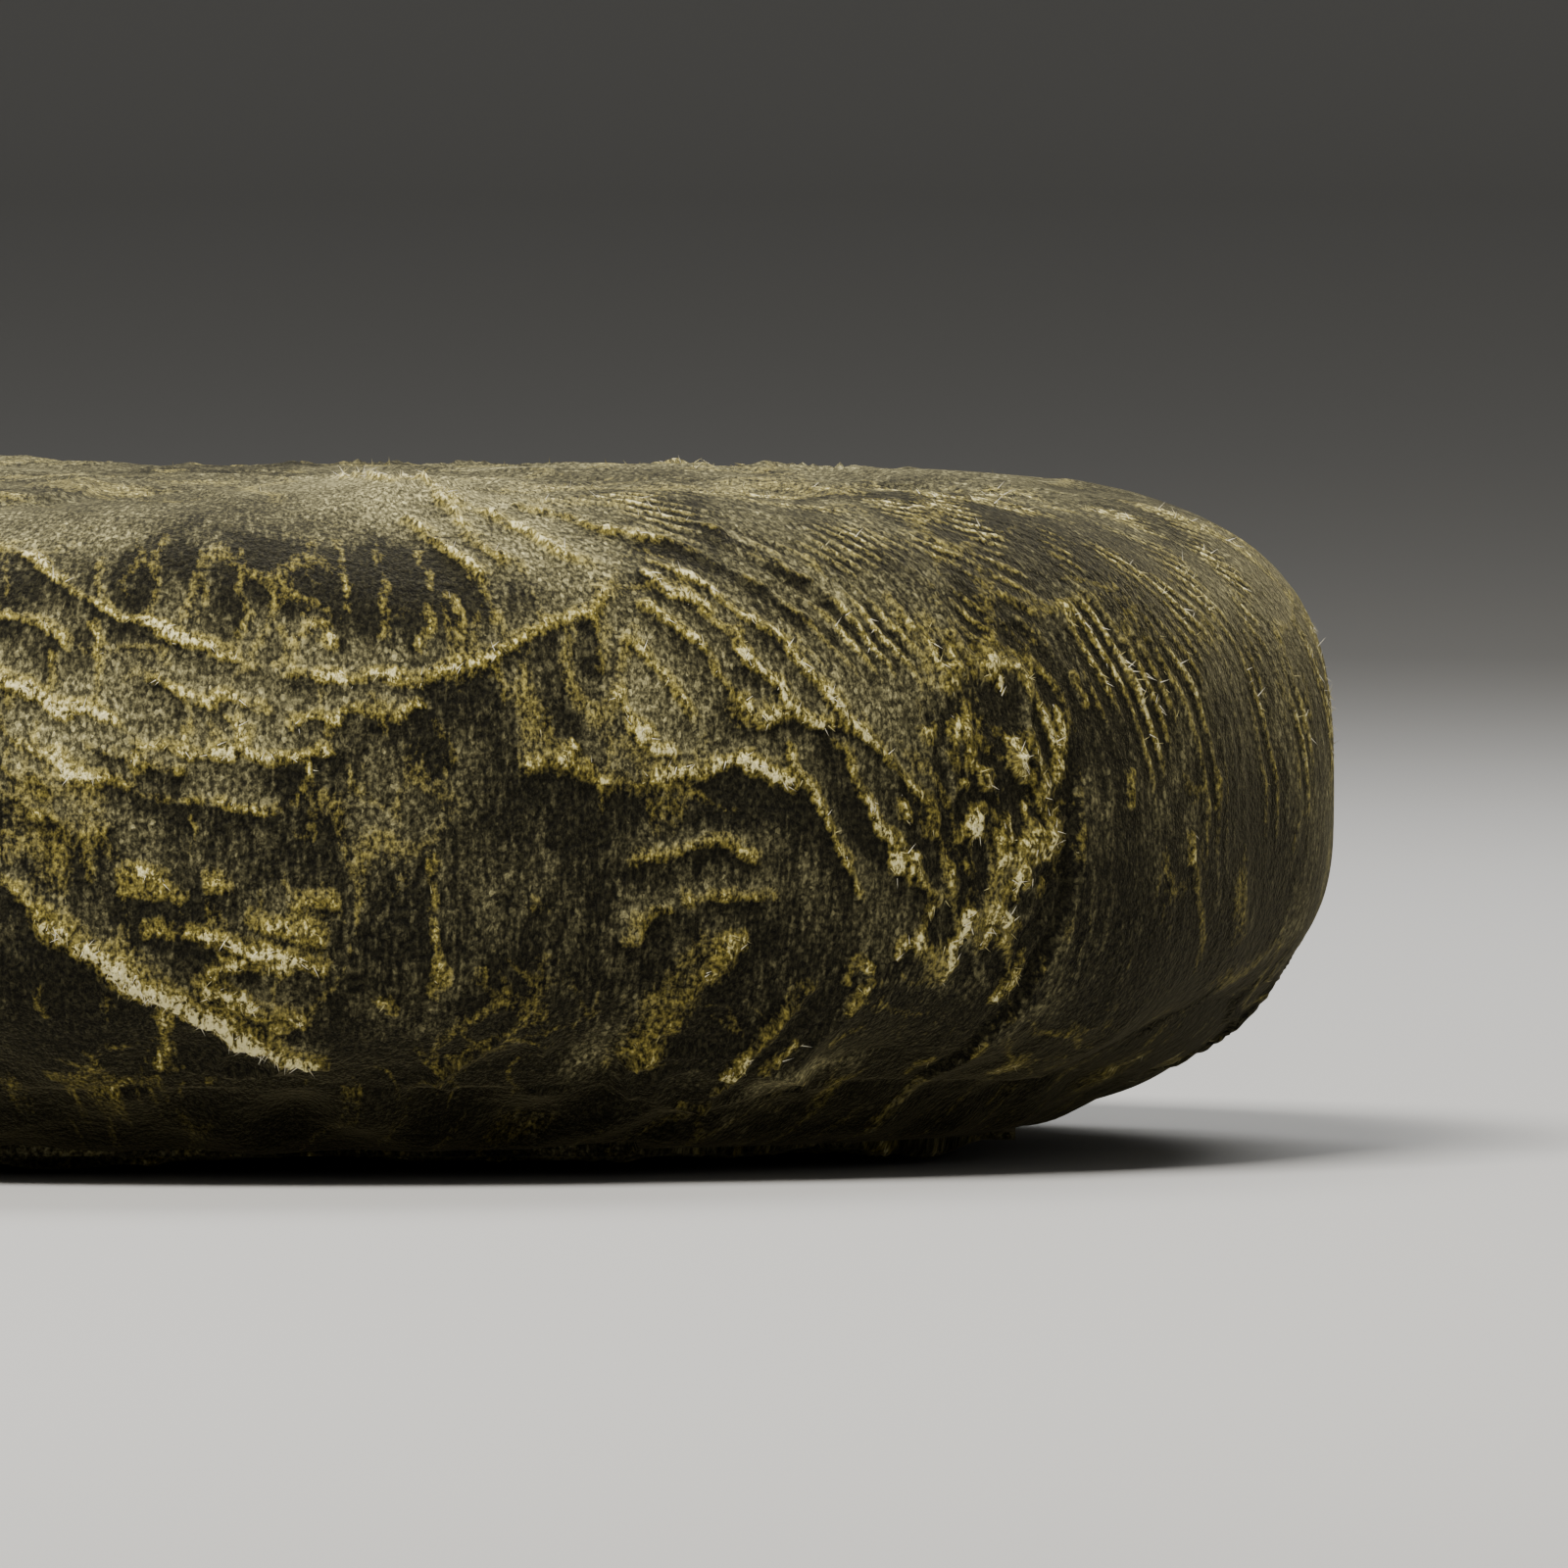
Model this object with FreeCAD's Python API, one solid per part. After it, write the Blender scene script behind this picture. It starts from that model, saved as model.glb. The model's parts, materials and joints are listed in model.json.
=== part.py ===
import FreeCAD, Part
import math
import os

# A round cake of bow rosin, wrapped in a square of velvet.
#
# The velvet lies over the cake, is glued to its top, hangs down its side and turns in under
# its rim. The four corners of the cloth are folded in beneath, like the back of an envelope,
# and each of these flaps folds out again along a straight line.
#
# Millimetres. +Z is up and the origin is the middle of the face that the wrap rests on.

# The cake
CAKE_DIAMETER = 54.0
CAKE_HEIGHT = 15.0
CAKE_EDGE_RADIUS = 2.5

# The glue that holds the velvet on the cake
GLUE_DIAMETER = 40.0
GLUE_THICKNESS = 0.4

# The velvet, with the slack of its creases in each thickness
TOP_THICKNESS = 2.4
SIDE_THICKNESS = 3.5
UNDER_THICKNESS = 1.8

# How far the velvet stands off the cake
SIDE_SLACK = 0.5
UNDER_SLACK = 0.4

# The rounding of the bundle, as quarter ellipses
TOP_ROUND_WIDTH = 9.0
TOP_ROUND_HEIGHT = 8.0
FOOT_ROUND_WIDTH = 9.0
FOOT_ROUND_HEIGHT = 9.0

# The folded corners
FOLD_INSET = 1.5      # from the edge of the flat foot in to each fold line
TUCK_DEPTH = 3.0      # how far a flap's corners reach out past the flat foot, under the rim
FOLD_GAP = 0.4        # between a flap and the turned-in rim
FLAP_GAP = 0.8        # between two flaps

# Worked out from the sizes above
CAKE_RADIUS = CAKE_DIAMETER / 2
CAKE_BOTTOM = UNDER_THICKNESS + UNDER_SLACK
CAKE_TOP = CAKE_BOTTOM + CAKE_HEIGHT
HOLLOW_RADIUS = CAKE_RADIUS + SIDE_SLACK
HOLLOW_TOP = CAKE_TOP + GLUE_THICKNESS
WRAP_RADIUS = HOLLOW_RADIUS + SIDE_THICKNESS
WRAP_HEIGHT = HOLLOW_TOP + TOP_THICKNESS
FOOT_RADIUS = WRAP_RADIUS - FOOT_ROUND_WIDTH
FOLD_DISTANCE = FOOT_RADIUS - FOLD_INSET
TUCK_RADIUS = FOOT_RADIUS + TUCK_DEPTH

UP = FreeCAD.Vector(0, 0, 1)
# Which way each folded corner of the cloth points, in degrees from +X
FLAP_DIRECTIONS = {"right_flap": 0, "back_flap": 90, "left_flap": 180, "front_flap": 270}


def in_section(radius, height):
    """A point of the section that is turned about the upright axis."""
    return FreeCAD.Vector(radius, 0, height)


def quarter_ellipse(start, corner, end):
    """A quarter of an ellipse that leaves start towards corner and comes to end from it."""
    curve = Part.BezierCurve()
    curve.setPoles([start, corner, end])
    curve.setWeight(2, math.sqrt(0.5))
    return curve.toShape()


def turned(edges):
    """The solid that a closed section makes when it turns about the upright axis."""
    section = Part.Face(Part.Wire(Part.sortEdges(edges)[0]))
    return section.revolve(FreeCAD.Vector(0, 0, 0), UP, 360)


def bundle():
    """The outside of the whole wrapped cake, as one solid."""
    foot_centre = in_section(0, 0)
    foot_edge = in_section(FOOT_RADIUS, 0)
    side_bottom = in_section(WRAP_RADIUS, FOOT_ROUND_HEIGHT)
    side_top = in_section(WRAP_RADIUS, WRAP_HEIGHT - TOP_ROUND_HEIGHT)
    top_edge = in_section(WRAP_RADIUS - TOP_ROUND_WIDTH, WRAP_HEIGHT)
    top_centre = in_section(0, WRAP_HEIGHT)
    return turned([
        Part.makeLine(foot_centre, foot_edge),
        quarter_ellipse(foot_edge, in_section(WRAP_RADIUS, 0), side_bottom),
        Part.makeLine(side_bottom, side_top),
        quarter_ellipse(side_top, in_section(WRAP_RADIUS, WRAP_HEIGHT), top_edge),
        Part.makeLine(top_edge, top_centre),
        Part.makeLine(top_centre, foot_centre),
    ])


def rounded_disc(radius, bottom, top):
    """A flat disc with both of its rims rounded as the cake's are."""
    disc = Part.makeCylinder(radius, top - bottom, FreeCAD.Vector(0, 0, bottom), UP)
    rims = [edge for edge in disc.Edges if edge.Curve.TypeId == "Part::GeomCircle"]
    return disc.makeFillet(CAKE_EDGE_RADIUS, rims)


def under_opening(margin):
    """The opening that the four flaps close, up to the cake: a square with its corners cut round."""
    half_side = FOLD_DISTANCE + margin
    square = Part.makeBox(2 * half_side, 2 * half_side, CAKE_BOTTOM,
                          FreeCAD.Vector(-half_side, -half_side, 0))
    return square.common(Part.makeCylinder(TUCK_RADIUS + margin, CAKE_BOTTOM))


def rosin_cake():
    return rounded_disc(CAKE_RADIUS, CAKE_BOTTOM, CAKE_TOP)


def glue_film():
    return Part.makeCylinder(GLUE_DIAMETER / 2, GLUE_THICKNESS, FreeCAD.Vector(0, 0, CAKE_TOP), UP)


def velvet_crown():
    """The velvet over the top, down the side and in under the rim."""
    hollow = rounded_disc(HOLLOW_RADIUS, UNDER_THICKNESS, HOLLOW_TOP)
    return bundle().cut(hollow).cut(under_opening(FOLD_GAP / 2))


def flap(direction):
    """One folded corner of the velvet, from its fold line to its tip under the cake's middle."""
    tip = FLAP_GAP / math.sqrt(2)
    reach = TUCK_RADIUS + FLAP_GAP
    outline = [
        FreeCAD.Vector(tip, 0, 0),
        FreeCAD.Vector(reach, reach - tip, 0),
        FreeCAD.Vector(reach, tip - reach, 0),
        FreeCAD.Vector(tip, 0, 0),
    ]
    quarter = Part.Face(Part.makePolygon(outline)).extrude(UP * UNDER_THICKNESS)
    quarter.rotate(FreeCAD.Vector(0, 0, 0), UP, direction)
    return quarter.common(under_opening(-FOLD_GAP / 2)).common(bundle())


def save(name, shape):
    """Writes one piece as the single solid that it is."""
    solids = shape.Solids
    if len(solids) != 1 or not solids[0].isValid():
        raise ValueError(name + " is not one sound solid")
    solids[0].exportStep(os.path.join("parts", name + ".step"))
    print(name, round(solids[0].Volume, 2), "mm3")


os.makedirs("parts", exist_ok=True)
save("rosin_cake", rosin_cake())
save("glue_film", glue_film())
save("velvet_crown", velvet_crown())
for flap_name, flap_direction in FLAP_DIRECTIONS.items():
    save(flap_name, flap(flap_direction))
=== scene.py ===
import json
import math

import bpy
import numpy as np
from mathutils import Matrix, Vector


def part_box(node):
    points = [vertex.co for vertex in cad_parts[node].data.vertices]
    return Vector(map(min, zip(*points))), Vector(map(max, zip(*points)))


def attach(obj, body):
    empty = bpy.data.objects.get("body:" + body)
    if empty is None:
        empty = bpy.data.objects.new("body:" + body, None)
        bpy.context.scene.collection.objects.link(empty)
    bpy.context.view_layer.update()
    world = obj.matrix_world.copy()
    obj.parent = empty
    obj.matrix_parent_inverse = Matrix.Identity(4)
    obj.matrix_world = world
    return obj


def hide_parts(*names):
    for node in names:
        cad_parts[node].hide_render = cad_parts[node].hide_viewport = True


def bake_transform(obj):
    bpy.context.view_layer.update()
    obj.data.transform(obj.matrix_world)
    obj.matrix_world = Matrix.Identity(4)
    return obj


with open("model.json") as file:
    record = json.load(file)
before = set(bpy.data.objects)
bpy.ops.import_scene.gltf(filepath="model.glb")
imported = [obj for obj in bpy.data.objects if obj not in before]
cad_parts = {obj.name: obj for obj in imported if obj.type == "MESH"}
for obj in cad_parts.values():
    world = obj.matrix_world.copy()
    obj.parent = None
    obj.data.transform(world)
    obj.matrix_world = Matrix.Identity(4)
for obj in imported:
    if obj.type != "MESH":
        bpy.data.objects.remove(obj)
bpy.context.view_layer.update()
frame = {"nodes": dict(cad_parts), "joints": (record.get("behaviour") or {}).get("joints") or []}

# A cake of bow rosin in its square of crushed olive-gold velvet. Creases and tucks are written
# in a tailor's measures: degrees round the bundle from its front, and millimetres of height.
# Everything is turned into metres where it becomes a mesh.

MM = 0.001

crown_low, crown_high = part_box("velvet_crown")
cake_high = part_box("rosin_cake")[1]
flap_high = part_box("front_flap")[1]

WRAP_RADIUS = (crown_high[0] - crown_low[0]) / 2 / MM
WRAP_HEIGHT = crown_high[2] / MM
CAKE_TOP = cake_high[2] / MM
FOLD_DISTANCE = abs(frame["joints"][0]["pos_m"][1]) / MM
UNDER_THICKNESS = flap_high[2] / MM
FLAP_HALF_WIDTH = flap_high[0] / MM

# ---------------------------------------------------------------- how finely the cloth is made
QUARTERS = 4
COLUMNS_PER_QUARTER = 288
COLUMNS = QUARTERS * COLUMNS_PER_QUARTER
ROW_STEP = 0.172           # between the rows of the side
RIM_ROWS = 22              # from the foot's turn in to the opening
RING_STEP = 0.22           # between the rings of the top
CLOSEST_POINTS = 0.17      # where a ring's points come closer, the next has half as many
FEWEST_POINTS = 9          # in the top's smallest ring
CORNER_STEP = 0.24         # between the rows of a folded corner
CORNER_COLUMNS = 141
LINING_STEP = 8            # the lining over the cake has a point for so many columns
TOP_RADIUS = 22.0          # the flat of the top is one piece, out to here
SEAM_AZIMUTH = 45.0        # the sides meet each other at the four tucks

# ---------------------------------------------------------------- the bundle's plump section
BULGE = 0.5                # how far the slack cloth stands out past the plain wrap
TOP_FLATNESS, TOP_FULLNESS = 8.0, 2.7
FOOT_FLATNESS, FOOT_FULLNESS = 3.2, 3.45
FOOT_LIFT = 0.25           # the underside of the turned-in rim
FOOT_RADIUS = 27.2         # where the side ends and the rim turns in
RIM_GAP = 0.35             # between the rim and the fold line
TUCK_RADIUS = math.hypot(FLAP_HALF_WIDTH, FLAP_HALF_WIDTH) - 1.2
CLOTH_THICKNESS = 1.6      # of the gathered cloth, down to its lining
SHOULDER_HEIGHT = 18.0     # above it the section counts as the top
LOWEST = 0.12              # no point of the cloth goes below this height


def smooth(x, low, high):
    """0 below low, 1 above high and a soft rise between."""
    t = np.clip((np.asarray(x, float) - low) / (high - low), 0, 1)
    return t * t * (3 - 2 * t)


def window(x, low, high, soft):
    """1 between low and high, fading over soft on both sides."""
    return smooth(x, low - soft, low + soft) * (1 - smooth(x, high - soft, high + soft))


def turn_between(a, b):
    """The signed turn in degrees from b to a, the short way round."""
    return (np.asarray(a, float) - b + 180.0) % 360.0 - 180.0


def waves(points, size, seed, count=20):
    """A smooth random field of about unit strength, whose hills are size apart."""
    rng = np.random.default_rng(seed)
    directions = rng.normal(size=(count, 3))
    directions /= np.linalg.norm(directions, axis=1)[:, None]
    sizes = size * rng.uniform(0.7, 1.5, count)
    phases = rng.uniform(0, 2 * math.pi, count)
    total = np.zeros(len(points))
    for direction, length, phase in zip(directions, sizes, phases):
        total += np.sin(points @ direction * (2 * math.pi / length) + phase)
    return total / math.sqrt(count / 2)


def crests(points, size, seed, sharpness=3.0, count=14):
    """A random net of soft crests, from 0 to 1."""
    return np.exp(-sharpness * np.abs(waves(points, size, seed, count)) * 2)


def thin_net(points, size, seed, half_width, count=12):
    """A random net of lines that fall away evenly to nothing at half_width from their middle."""
    steepness = 2 * math.pi / size * 0.75
    return np.clip(1 - np.abs(waves(points, size, seed, count)) / (half_width * steepness), 0, 1)


# ---------------------------------------------------------------- the section, walked as a path
def section_curve():
    """Radius and height along the section, from the top's middle out, down and under."""
    turn = np.linspace(math.pi / 2, 0, 2500)
    middle = WRAP_HEIGHT / 2
    widest = WRAP_RADIUS + BULGE
    top_radius = widest * np.cos(turn) ** (2 / TOP_FLATNESS)
    top_height = middle + middle * np.sin(turn) ** (2 / TOP_FULLNESS)
    turn = np.linspace(0, math.pi / 2, 2500)[1:]
    foot_radius = widest * np.cos(turn) ** (2 / FOOT_FLATNESS)
    foot_height = middle - (middle - FOOT_LIFT) * np.sin(turn) ** (2 / FOOT_FULLNESS)
    top_radius[0] = 0
    radius = np.concatenate([top_radius, foot_radius])
    height = np.concatenate([top_height, foot_height])
    flat = np.linspace(0, radius[1], 60)[:-1]
    radius = np.concatenate([flat, radius[1:]])
    height = np.concatenate([np.full(len(flat), height[0]), height[1:]])
    keep = (height > middle) | (radius > FOLD_DISTANCE - 4)
    return radius[keep], height[keep]


SECTION_RADIUS, SECTION_HEIGHT = section_curve()
SECTION_PATH = np.concatenate(
    [[0], np.cumsum(np.hypot(np.diff(SECTION_RADIUS), np.diff(SECTION_HEIGHT)))]
)
ON_TOP = SECTION_HEIGHT > SHOULDER_HEIGHT
TOP_PATH = float(np.interp(TOP_RADIUS, SECTION_RADIUS[ON_TOP], SECTION_PATH[ON_TOP]))
REFERENCE = WRAP_RADIUS + BULGE


def path_at_height(height):
    """How far down the cloth's path a height on the side lies."""
    side = SECTION_PATH > TOP_PATH - 6
    return np.interp(-np.asarray(height, float), -SECTION_HEIGHT[side], SECTION_PATH[side])


def foot_height(radius):
    """The height of the plain section where it curves in under the bundle."""
    low = SECTION_HEIGHT < WRAP_HEIGHT / 2
    return np.interp(-np.asarray(radius, float), -SECTION_RADIUS[low], SECTION_HEIGHT[low])


def opening_radius(azimuth):
    """How far in the turned-in rim reaches: the flaps' opening, a square with cut corners."""
    turn = np.radians((azimuth + 45) % 90 - 45)
    return np.minimum(FOLD_DISTANCE / np.cos(turn), TUCK_RADIUS) + RIM_GAP


def section_change(values, path, reach=0.05):
    """How much the section's radii or heights change across a place on its path."""
    after = np.interp(path + reach, SECTION_PATH, values)
    return after - np.interp(path - reach, SECTION_PATH, values)


def place(azimuth, radius, height):
    """Where a point at an azimuth from the front, a radius and a height is, in mm."""
    turn = np.radians(azimuth)
    return np.stack([radius * np.sin(turn), -radius * np.cos(turn), height + 0 * turn], axis=-1)


# ---------------------------------------------------------------- creases
class Cloth:
    """Points of the cloth, with what the creases do to each of them."""

    def __init__(self, azimuth, path):
        self.azimuth = azimuth % 360.0
        self.path = path
        self.radius = np.interp(path, SECTION_PATH, SECTION_RADIUS)
        self.height = np.interp(path, SECTION_PATH, SECTION_HEIGHT)
        self.spot = place(self.azimuth, self.radius, self.height)
        self.lift = np.zeros(len(path))
        # how far the pile parts at a crease, which the material paints as a gold and straw highlight
        self.opened_and_highlit = np.zeros(len(path))
        # the lie of the pile, lighter or darker, and with it painted light and shade: lit banks, shaded
        # recesses, a lighter top and a darker bottom
        self.nap_and_painted_light = np.zeros(len(path))

    def wear(self, where, amount):
        """Open the pile by an amount, where it isn't open further already. The material paints the
        parted pile as a highlight.
        """
        self.opened_and_highlit[where] = np.maximum(self.opened_and_highlit[where], amount)


def rounded_route(points, steps=10):
    """A smooth line through given points."""
    points = np.array(points, float)
    ends = np.vstack([2 * points[0] - points[1], points, 2 * points[-1] - points[-2]])
    share = np.linspace(0, 1, steps, endpoint=False)[:, None]
    route = []
    for a, b, c, d in zip(ends[:-3], ends[1:-2], ends[2:-1], ends[3:]):
        route.append(0.5 * (2 * b + (c - a) * share + (2 * a - 5 * b + 4 * c - d) * share**2
                            + (3 * b - a - 3 * c + d) * share**3))
    return np.vstack(route + [points[-1:]])


def along_route(cloth, points, reach):
    """Which cloth points lie near a route, how far off it on which side, and how far along."""
    points = np.array(points, float)
    route = rounded_route(np.column_stack([points[:, 0], path_at_height(points[:, 1])]))
    home = route[:, 0].mean()
    east = np.radians(turn_between(cloth.azimuth, home)) * REFERENCE
    line = np.column_stack([np.radians(route[:, 0] - home) * REFERENCE, route[:, 1]])
    near = np.flatnonzero(
        (east > line[:, 0].min() - reach) & (east < line[:, 0].max() + reach)
        & (cloth.path > line[:, 1].min() - reach) & (cloth.path < line[:, 1].max() + reach)
    )
    here = np.column_stack([east[near], cloth.path[near]])
    best = np.full(len(near), 1e9)
    side = np.zeros(len(near))
    walked = np.zeros(len(near))
    run = 0.0
    for start, end in zip(line[:-1], line[1:]):
        step = end - start
        length = float(np.hypot(*step)) or 1e-9
        share = np.clip(((here - start) @ step) / length**2, 0, 1)
        off = here - (start + share[:, None] * step)
        away = np.hypot(off[:, 0], off[:, 1])
        closer = away < best
        best[closer] = away[closer]
        side[closer] = np.sign(step[0] * off[closer, 1] - step[1] * off[closer, 0])
        walked[closer] = run + share[closer] * length
        run += length
    return near, best, side, walked / max(run, 1e-9)


def crease(cloth, points, opened_and_highlit=1.0, lift=0.11, bank=1.0, shade=1.0, spread=0.5, seed=0):
    """One crest along a route that runs left to right. The pile above it is laid up to it and painted
    lighter, a painted highlight, and below it the pile is painted darker, a painted shade. At the crest
    the parted pile is painted as a highlight. It wanders, and dies at its ends."""
    near, off, side, share = along_route(cloth, points, max(bank * 3, 1.6))
    spot = cloth.spot[near]
    below = off * side + 0.10 * waves(spot, 1.6, 400 + seed, 8)
    below = below + 0.05 * waves(spot, 0.7, 500 + seed, 8)
    away = np.abs(below)
    above = below < 0
    strength = 0.90 + 0.16 * waves(spot, 3.6, 900 + seed, 8)
    strength = strength + 0.17 * waves(spot, 0.8, 950 + seed, 8)
    strength = np.clip(strength, 0.2, 1.2) * smooth(share, 0.0, 0.1) * (1 - smooth(share, 0.88, 1.0))
    swell = np.exp(-away / np.where(above, bank * 0.8, 0.25))
    cloth.lift[near] += strength * lift * (0.45 * np.exp(-(away / 0.17) ** 2) + 0.55 * swell)
    reach = np.where(above, spread, 0.55 * spread)
    cloth.wear(near, opened_and_highlit * strength * np.clip(1 - away / reach, 0, 1))
    # painted highlight on the bank above the crest and painted shade in the recess below it
    light = np.where(above, 1.4 * np.exp(-away / (bank * 0.7)), -1.7 * np.exp(-away / 0.5))
    cloth.nap_and_painted_light[near] += shade * strength * light


def creases(cloth, routes, seed, **ways):
    """Several creases, each given as its route and how far it parts the pile, which is painted as a
    highlight.
    """
    for number, (opened_and_highlit, route) in enumerate(routes):
        crease(cloth, route, opened_and_highlit=opened_and_highlit, seed=seed + number, **ways)


def tuft_mark(cloth, azimuth, height, tall, lean, opened_and_highlit, seed):
    """A short stroke where the pile bursts open, painted as a highlight, leaning right by lean degrees
    of azimuth.
    """
    half = tall / 2
    route = [(azimuth - lean, height - half), (azimuth, height), (azimuth + lean, height + half)]
    crease(cloth, route, opened_and_highlit=opened_and_highlit, lift=0.12, bank=0.5, shade=0.5, spread=0.42, seed=seed)


def nap_and_light_patch(cloth, azimuth, height, wide, high, amount, seed):
    """Make a patch of pile lighter or darker: in part the lie of the pile, in part painted light and
    shade.
    """
    across = np.radians(turn_between(cloth.azimuth, azimuth)) * REFERENCE / wide
    up = (cloth.height - height) / high
    ragged = 1 + 0.35 * waves(cloth.spot, 3.0, seed, 10)
    cloth.nap_and_painted_light += amount * np.exp(-(across**2 + up**2)) * ragged


def overlap(cloth, points, lift=0.4, reach=5.0, edge=0.22, seed=0):
    """The edge of a fold that lies over the cloth beside it, with a recess under it. The fold is painted
    lighter next to its edge, a painted highlight, and the recess darker, a painted shade.
    """
    near, off, side, share = along_route(cloth, points, reach * 2)
    spot = cloth.spot[near]
    ends = smooth(share, 0.0, 0.12) * (1 - smooth(share, 0.8, 1.0))
    signed = off * side + 0.08 * waves(spot, 2.0, 700 + seed, 8)
    over = smooth(signed, -edge, edge) * np.exp(-np.maximum(signed, 0) / (reach * 0.42))
    under = (1 - smooth(signed, -edge, edge)) * np.exp(-np.maximum(-signed, 0) / 0.8)
    cloth.lift[near] += ends * lift * (over - 0.6 * under)
    some = np.clip(0.5 + 0.6 * waves(spot, 1.2, 710 + seed, 8), 0, 1)
    rim = np.clip(1 - np.abs(signed - 0.2) / 0.3, 0, 1) * some
    cloth.wear(near, 0.5 * rim * ends)
    # painted highlight on the fold by its edge, painted shade in the recess under it
    cloth.nap_and_painted_light[near] += ends * (0.8 * np.exp(-np.maximum(signed, 0) / 0.7) * (signed > 0) - 1.6 * under)


def pleats(cloth, low, high, seed, spacing=0.75, sweep=28.0, lift=0.09, opened_and_highlit=0.8):
    """Fine side-by-side pleats that leave the top aslant and come round to hang upright."""
    azimuth = turn_between(cloth.azimuth, (low + high) / 2) + (high - low) / 2
    near = np.flatnonzero((azimuth > -sweep - 12) & (azimuth < high - low + 12))
    height, spot = cloth.height[near], cloth.spot[near]
    drop = smooth(cloth.path[near], TOP_PATH - 8, path_at_height(10.5))
    lane = azimuth[near] + sweep * (1 - drop)
    beat = (np.radians(lane) * REFERENCE + 0.3 * waves(spot, 7.0, seed, 10)) / spacing
    beat += 0.08 * waves(spot, 2.2, seed + 1, 8)
    off = np.abs((beat + 0.5) % 1.0 - 0.5)
    strand = np.clip(0.45 + 0.6 * waves(spot * [1, 1, 0.4], 2.4, seed + 2, 10), 0.0, 1.3)
    share = window(lane, 0, high - low, 6.0) * smooth(cloth.path[near], TOP_PATH - 7, TOP_PATH + 1)
    share = share * (0.25 + 0.75 * smooth(height, 8.5, 13.0)) * smooth(height, 2.0, 5.0)
    cloth.lift[near] += lift * share * (0.4 + 0.6 * strand) * (np.clip(1 - off / 0.32, 0, 1) - 0.4)
    # the pleats' crests part the pile and are painted lighter, a painted highlight, and the lanes
    # between are painted darker, a painted shade
    cloth.wear(near, opened_and_highlit * share * strand * np.clip(1 - off / 0.3, 0, 1))
    cloth.nap_and_painted_light[near] += share * (0.3 + 0.7 * strand) * (1.9 * np.clip(1 - off / 0.4, 0, 1) - 0.9)


def crumple(cloth, low, high, bottom, top, seed, lift=0.16, opened_and_highlit=1.0):
    """A crushed column of short upright wrinkles and tufts. The wrinkles' crests and tufts are painted
    lighter, a painted highlight, and the gaps between darker, a painted shade.
    """
    azimuth = turn_between(cloth.azimuth, (low + high) / 2) + (high - low) / 2
    near = np.flatnonzero((azimuth > -8) & (azimuth < high - low + 8)
                          & (cloth.height > bottom - 2) & (cloth.height < top + 2))
    spot = cloth.spot[near]
    share = window(azimuth[near], 0, high - low, 2.6) * window(cloth.height[near], bottom, top, 1.6)
    warped = spot * [1, 1, 0.4] + 0.3 * waves(spot, 3.0, seed + 5, 8)[:, None]
    first = thin_net(warped, 2.6, seed, 0.3)
    second = thin_net(warped, 1.6, seed + 1, 0.22)
    some = np.clip(0.55 + 0.6 * waves(spot * [1, 1, 0.7], 1.5, seed + 2, 10), 0, 1.1)
    cloth.lift[near] += share * lift * (first + 0.6 * second - 0.6)
    cloth.wear(near, opened_and_highlit * share * some * np.maximum(first, 0.75 * second))
    cloth.nap_and_painted_light[near] += share * (1.3 * first + 0.9 * second - 0.8)


def flecks(cloth, column, turn, seed, count=70):
    """Short strokes of painted highlight all over a crushed column. They lean in to it above and out
    below.
    """
    rng = np.random.default_rng(seed)
    for number in range(count):
        height = rng.triangular(4.6, 9.0, 16.8)
        sway = 4.0 - 0.12 * (height - 9.5) ** 2
        azimuth = column + turn * (sway - abs(rng.normal(0, 4.6)))
        tall = rng.uniform(0.35, 1.0)
        lean = turn * (0.5 * tall * (9.5 - height) / 5 + rng.normal(0, 0.12))
        tuft_mark(cloth, azimuth, height, tall, lean, rng.uniform(0.55, 1.12), seed + number)


def foot_folds(cloth, seed):
    """Folds that gather as the cloth turns in under the rim."""
    slanted = cloth.azimuth + 9.0 * smooth(9.0 - cloth.height, 0, 9)
    share = smooth(cloth.path, path_at_height(7.0), path_at_height(2.5))
    ring = place(slanted, REFERENCE, 0)
    broad = waves(ring, 7.5, seed, 14)
    narrow = crests(ring + 0.4 * waves(cloth.spot, 4.0, seed + 2, 8)[:, None], 4.2, seed + 1, 1.2)
    cloth.lift += share * (0.22 * broad + 0.45 * narrow - 0.2)
    line = thin_net(ring + 0.3 * waves(cloth.spot, 3.0, seed + 5, 8)[:, None], 3.0, seed + 6, 0.4)
    some = smooth(waves(cloth.spot, 2.6, seed + 3), 0.1, 1.3)
    # the fold lines are painted lighter, a painted highlight
    cloth.wear(slice(None), 0.8 * share * line * some)
    cloth.nap_and_painted_light += share * (0.6 * waves(ring, 4.0, seed + 4) + 0.9 * line * some)


def tuck(cloth, azimuth, seed, lift=0.24):
    """The cloth's spare width at a corner, folded over itself from mid height to the foot."""
    rng = np.random.default_rng(seed)
    lean = rng.uniform(-0.6, 0.6)
    edge = [(azimuth - 3.0, 0.9), (azimuth - 1.3, 3.2), (azimuth, 5.5),
            (azimuth + 1.5 + lean, 7.8), (azimuth + 2.0 + lean, 10.2), (azimuth + 2.0, 13.4)]
    overlap(cloth, edge, lift=lift, seed=seed)


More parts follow.
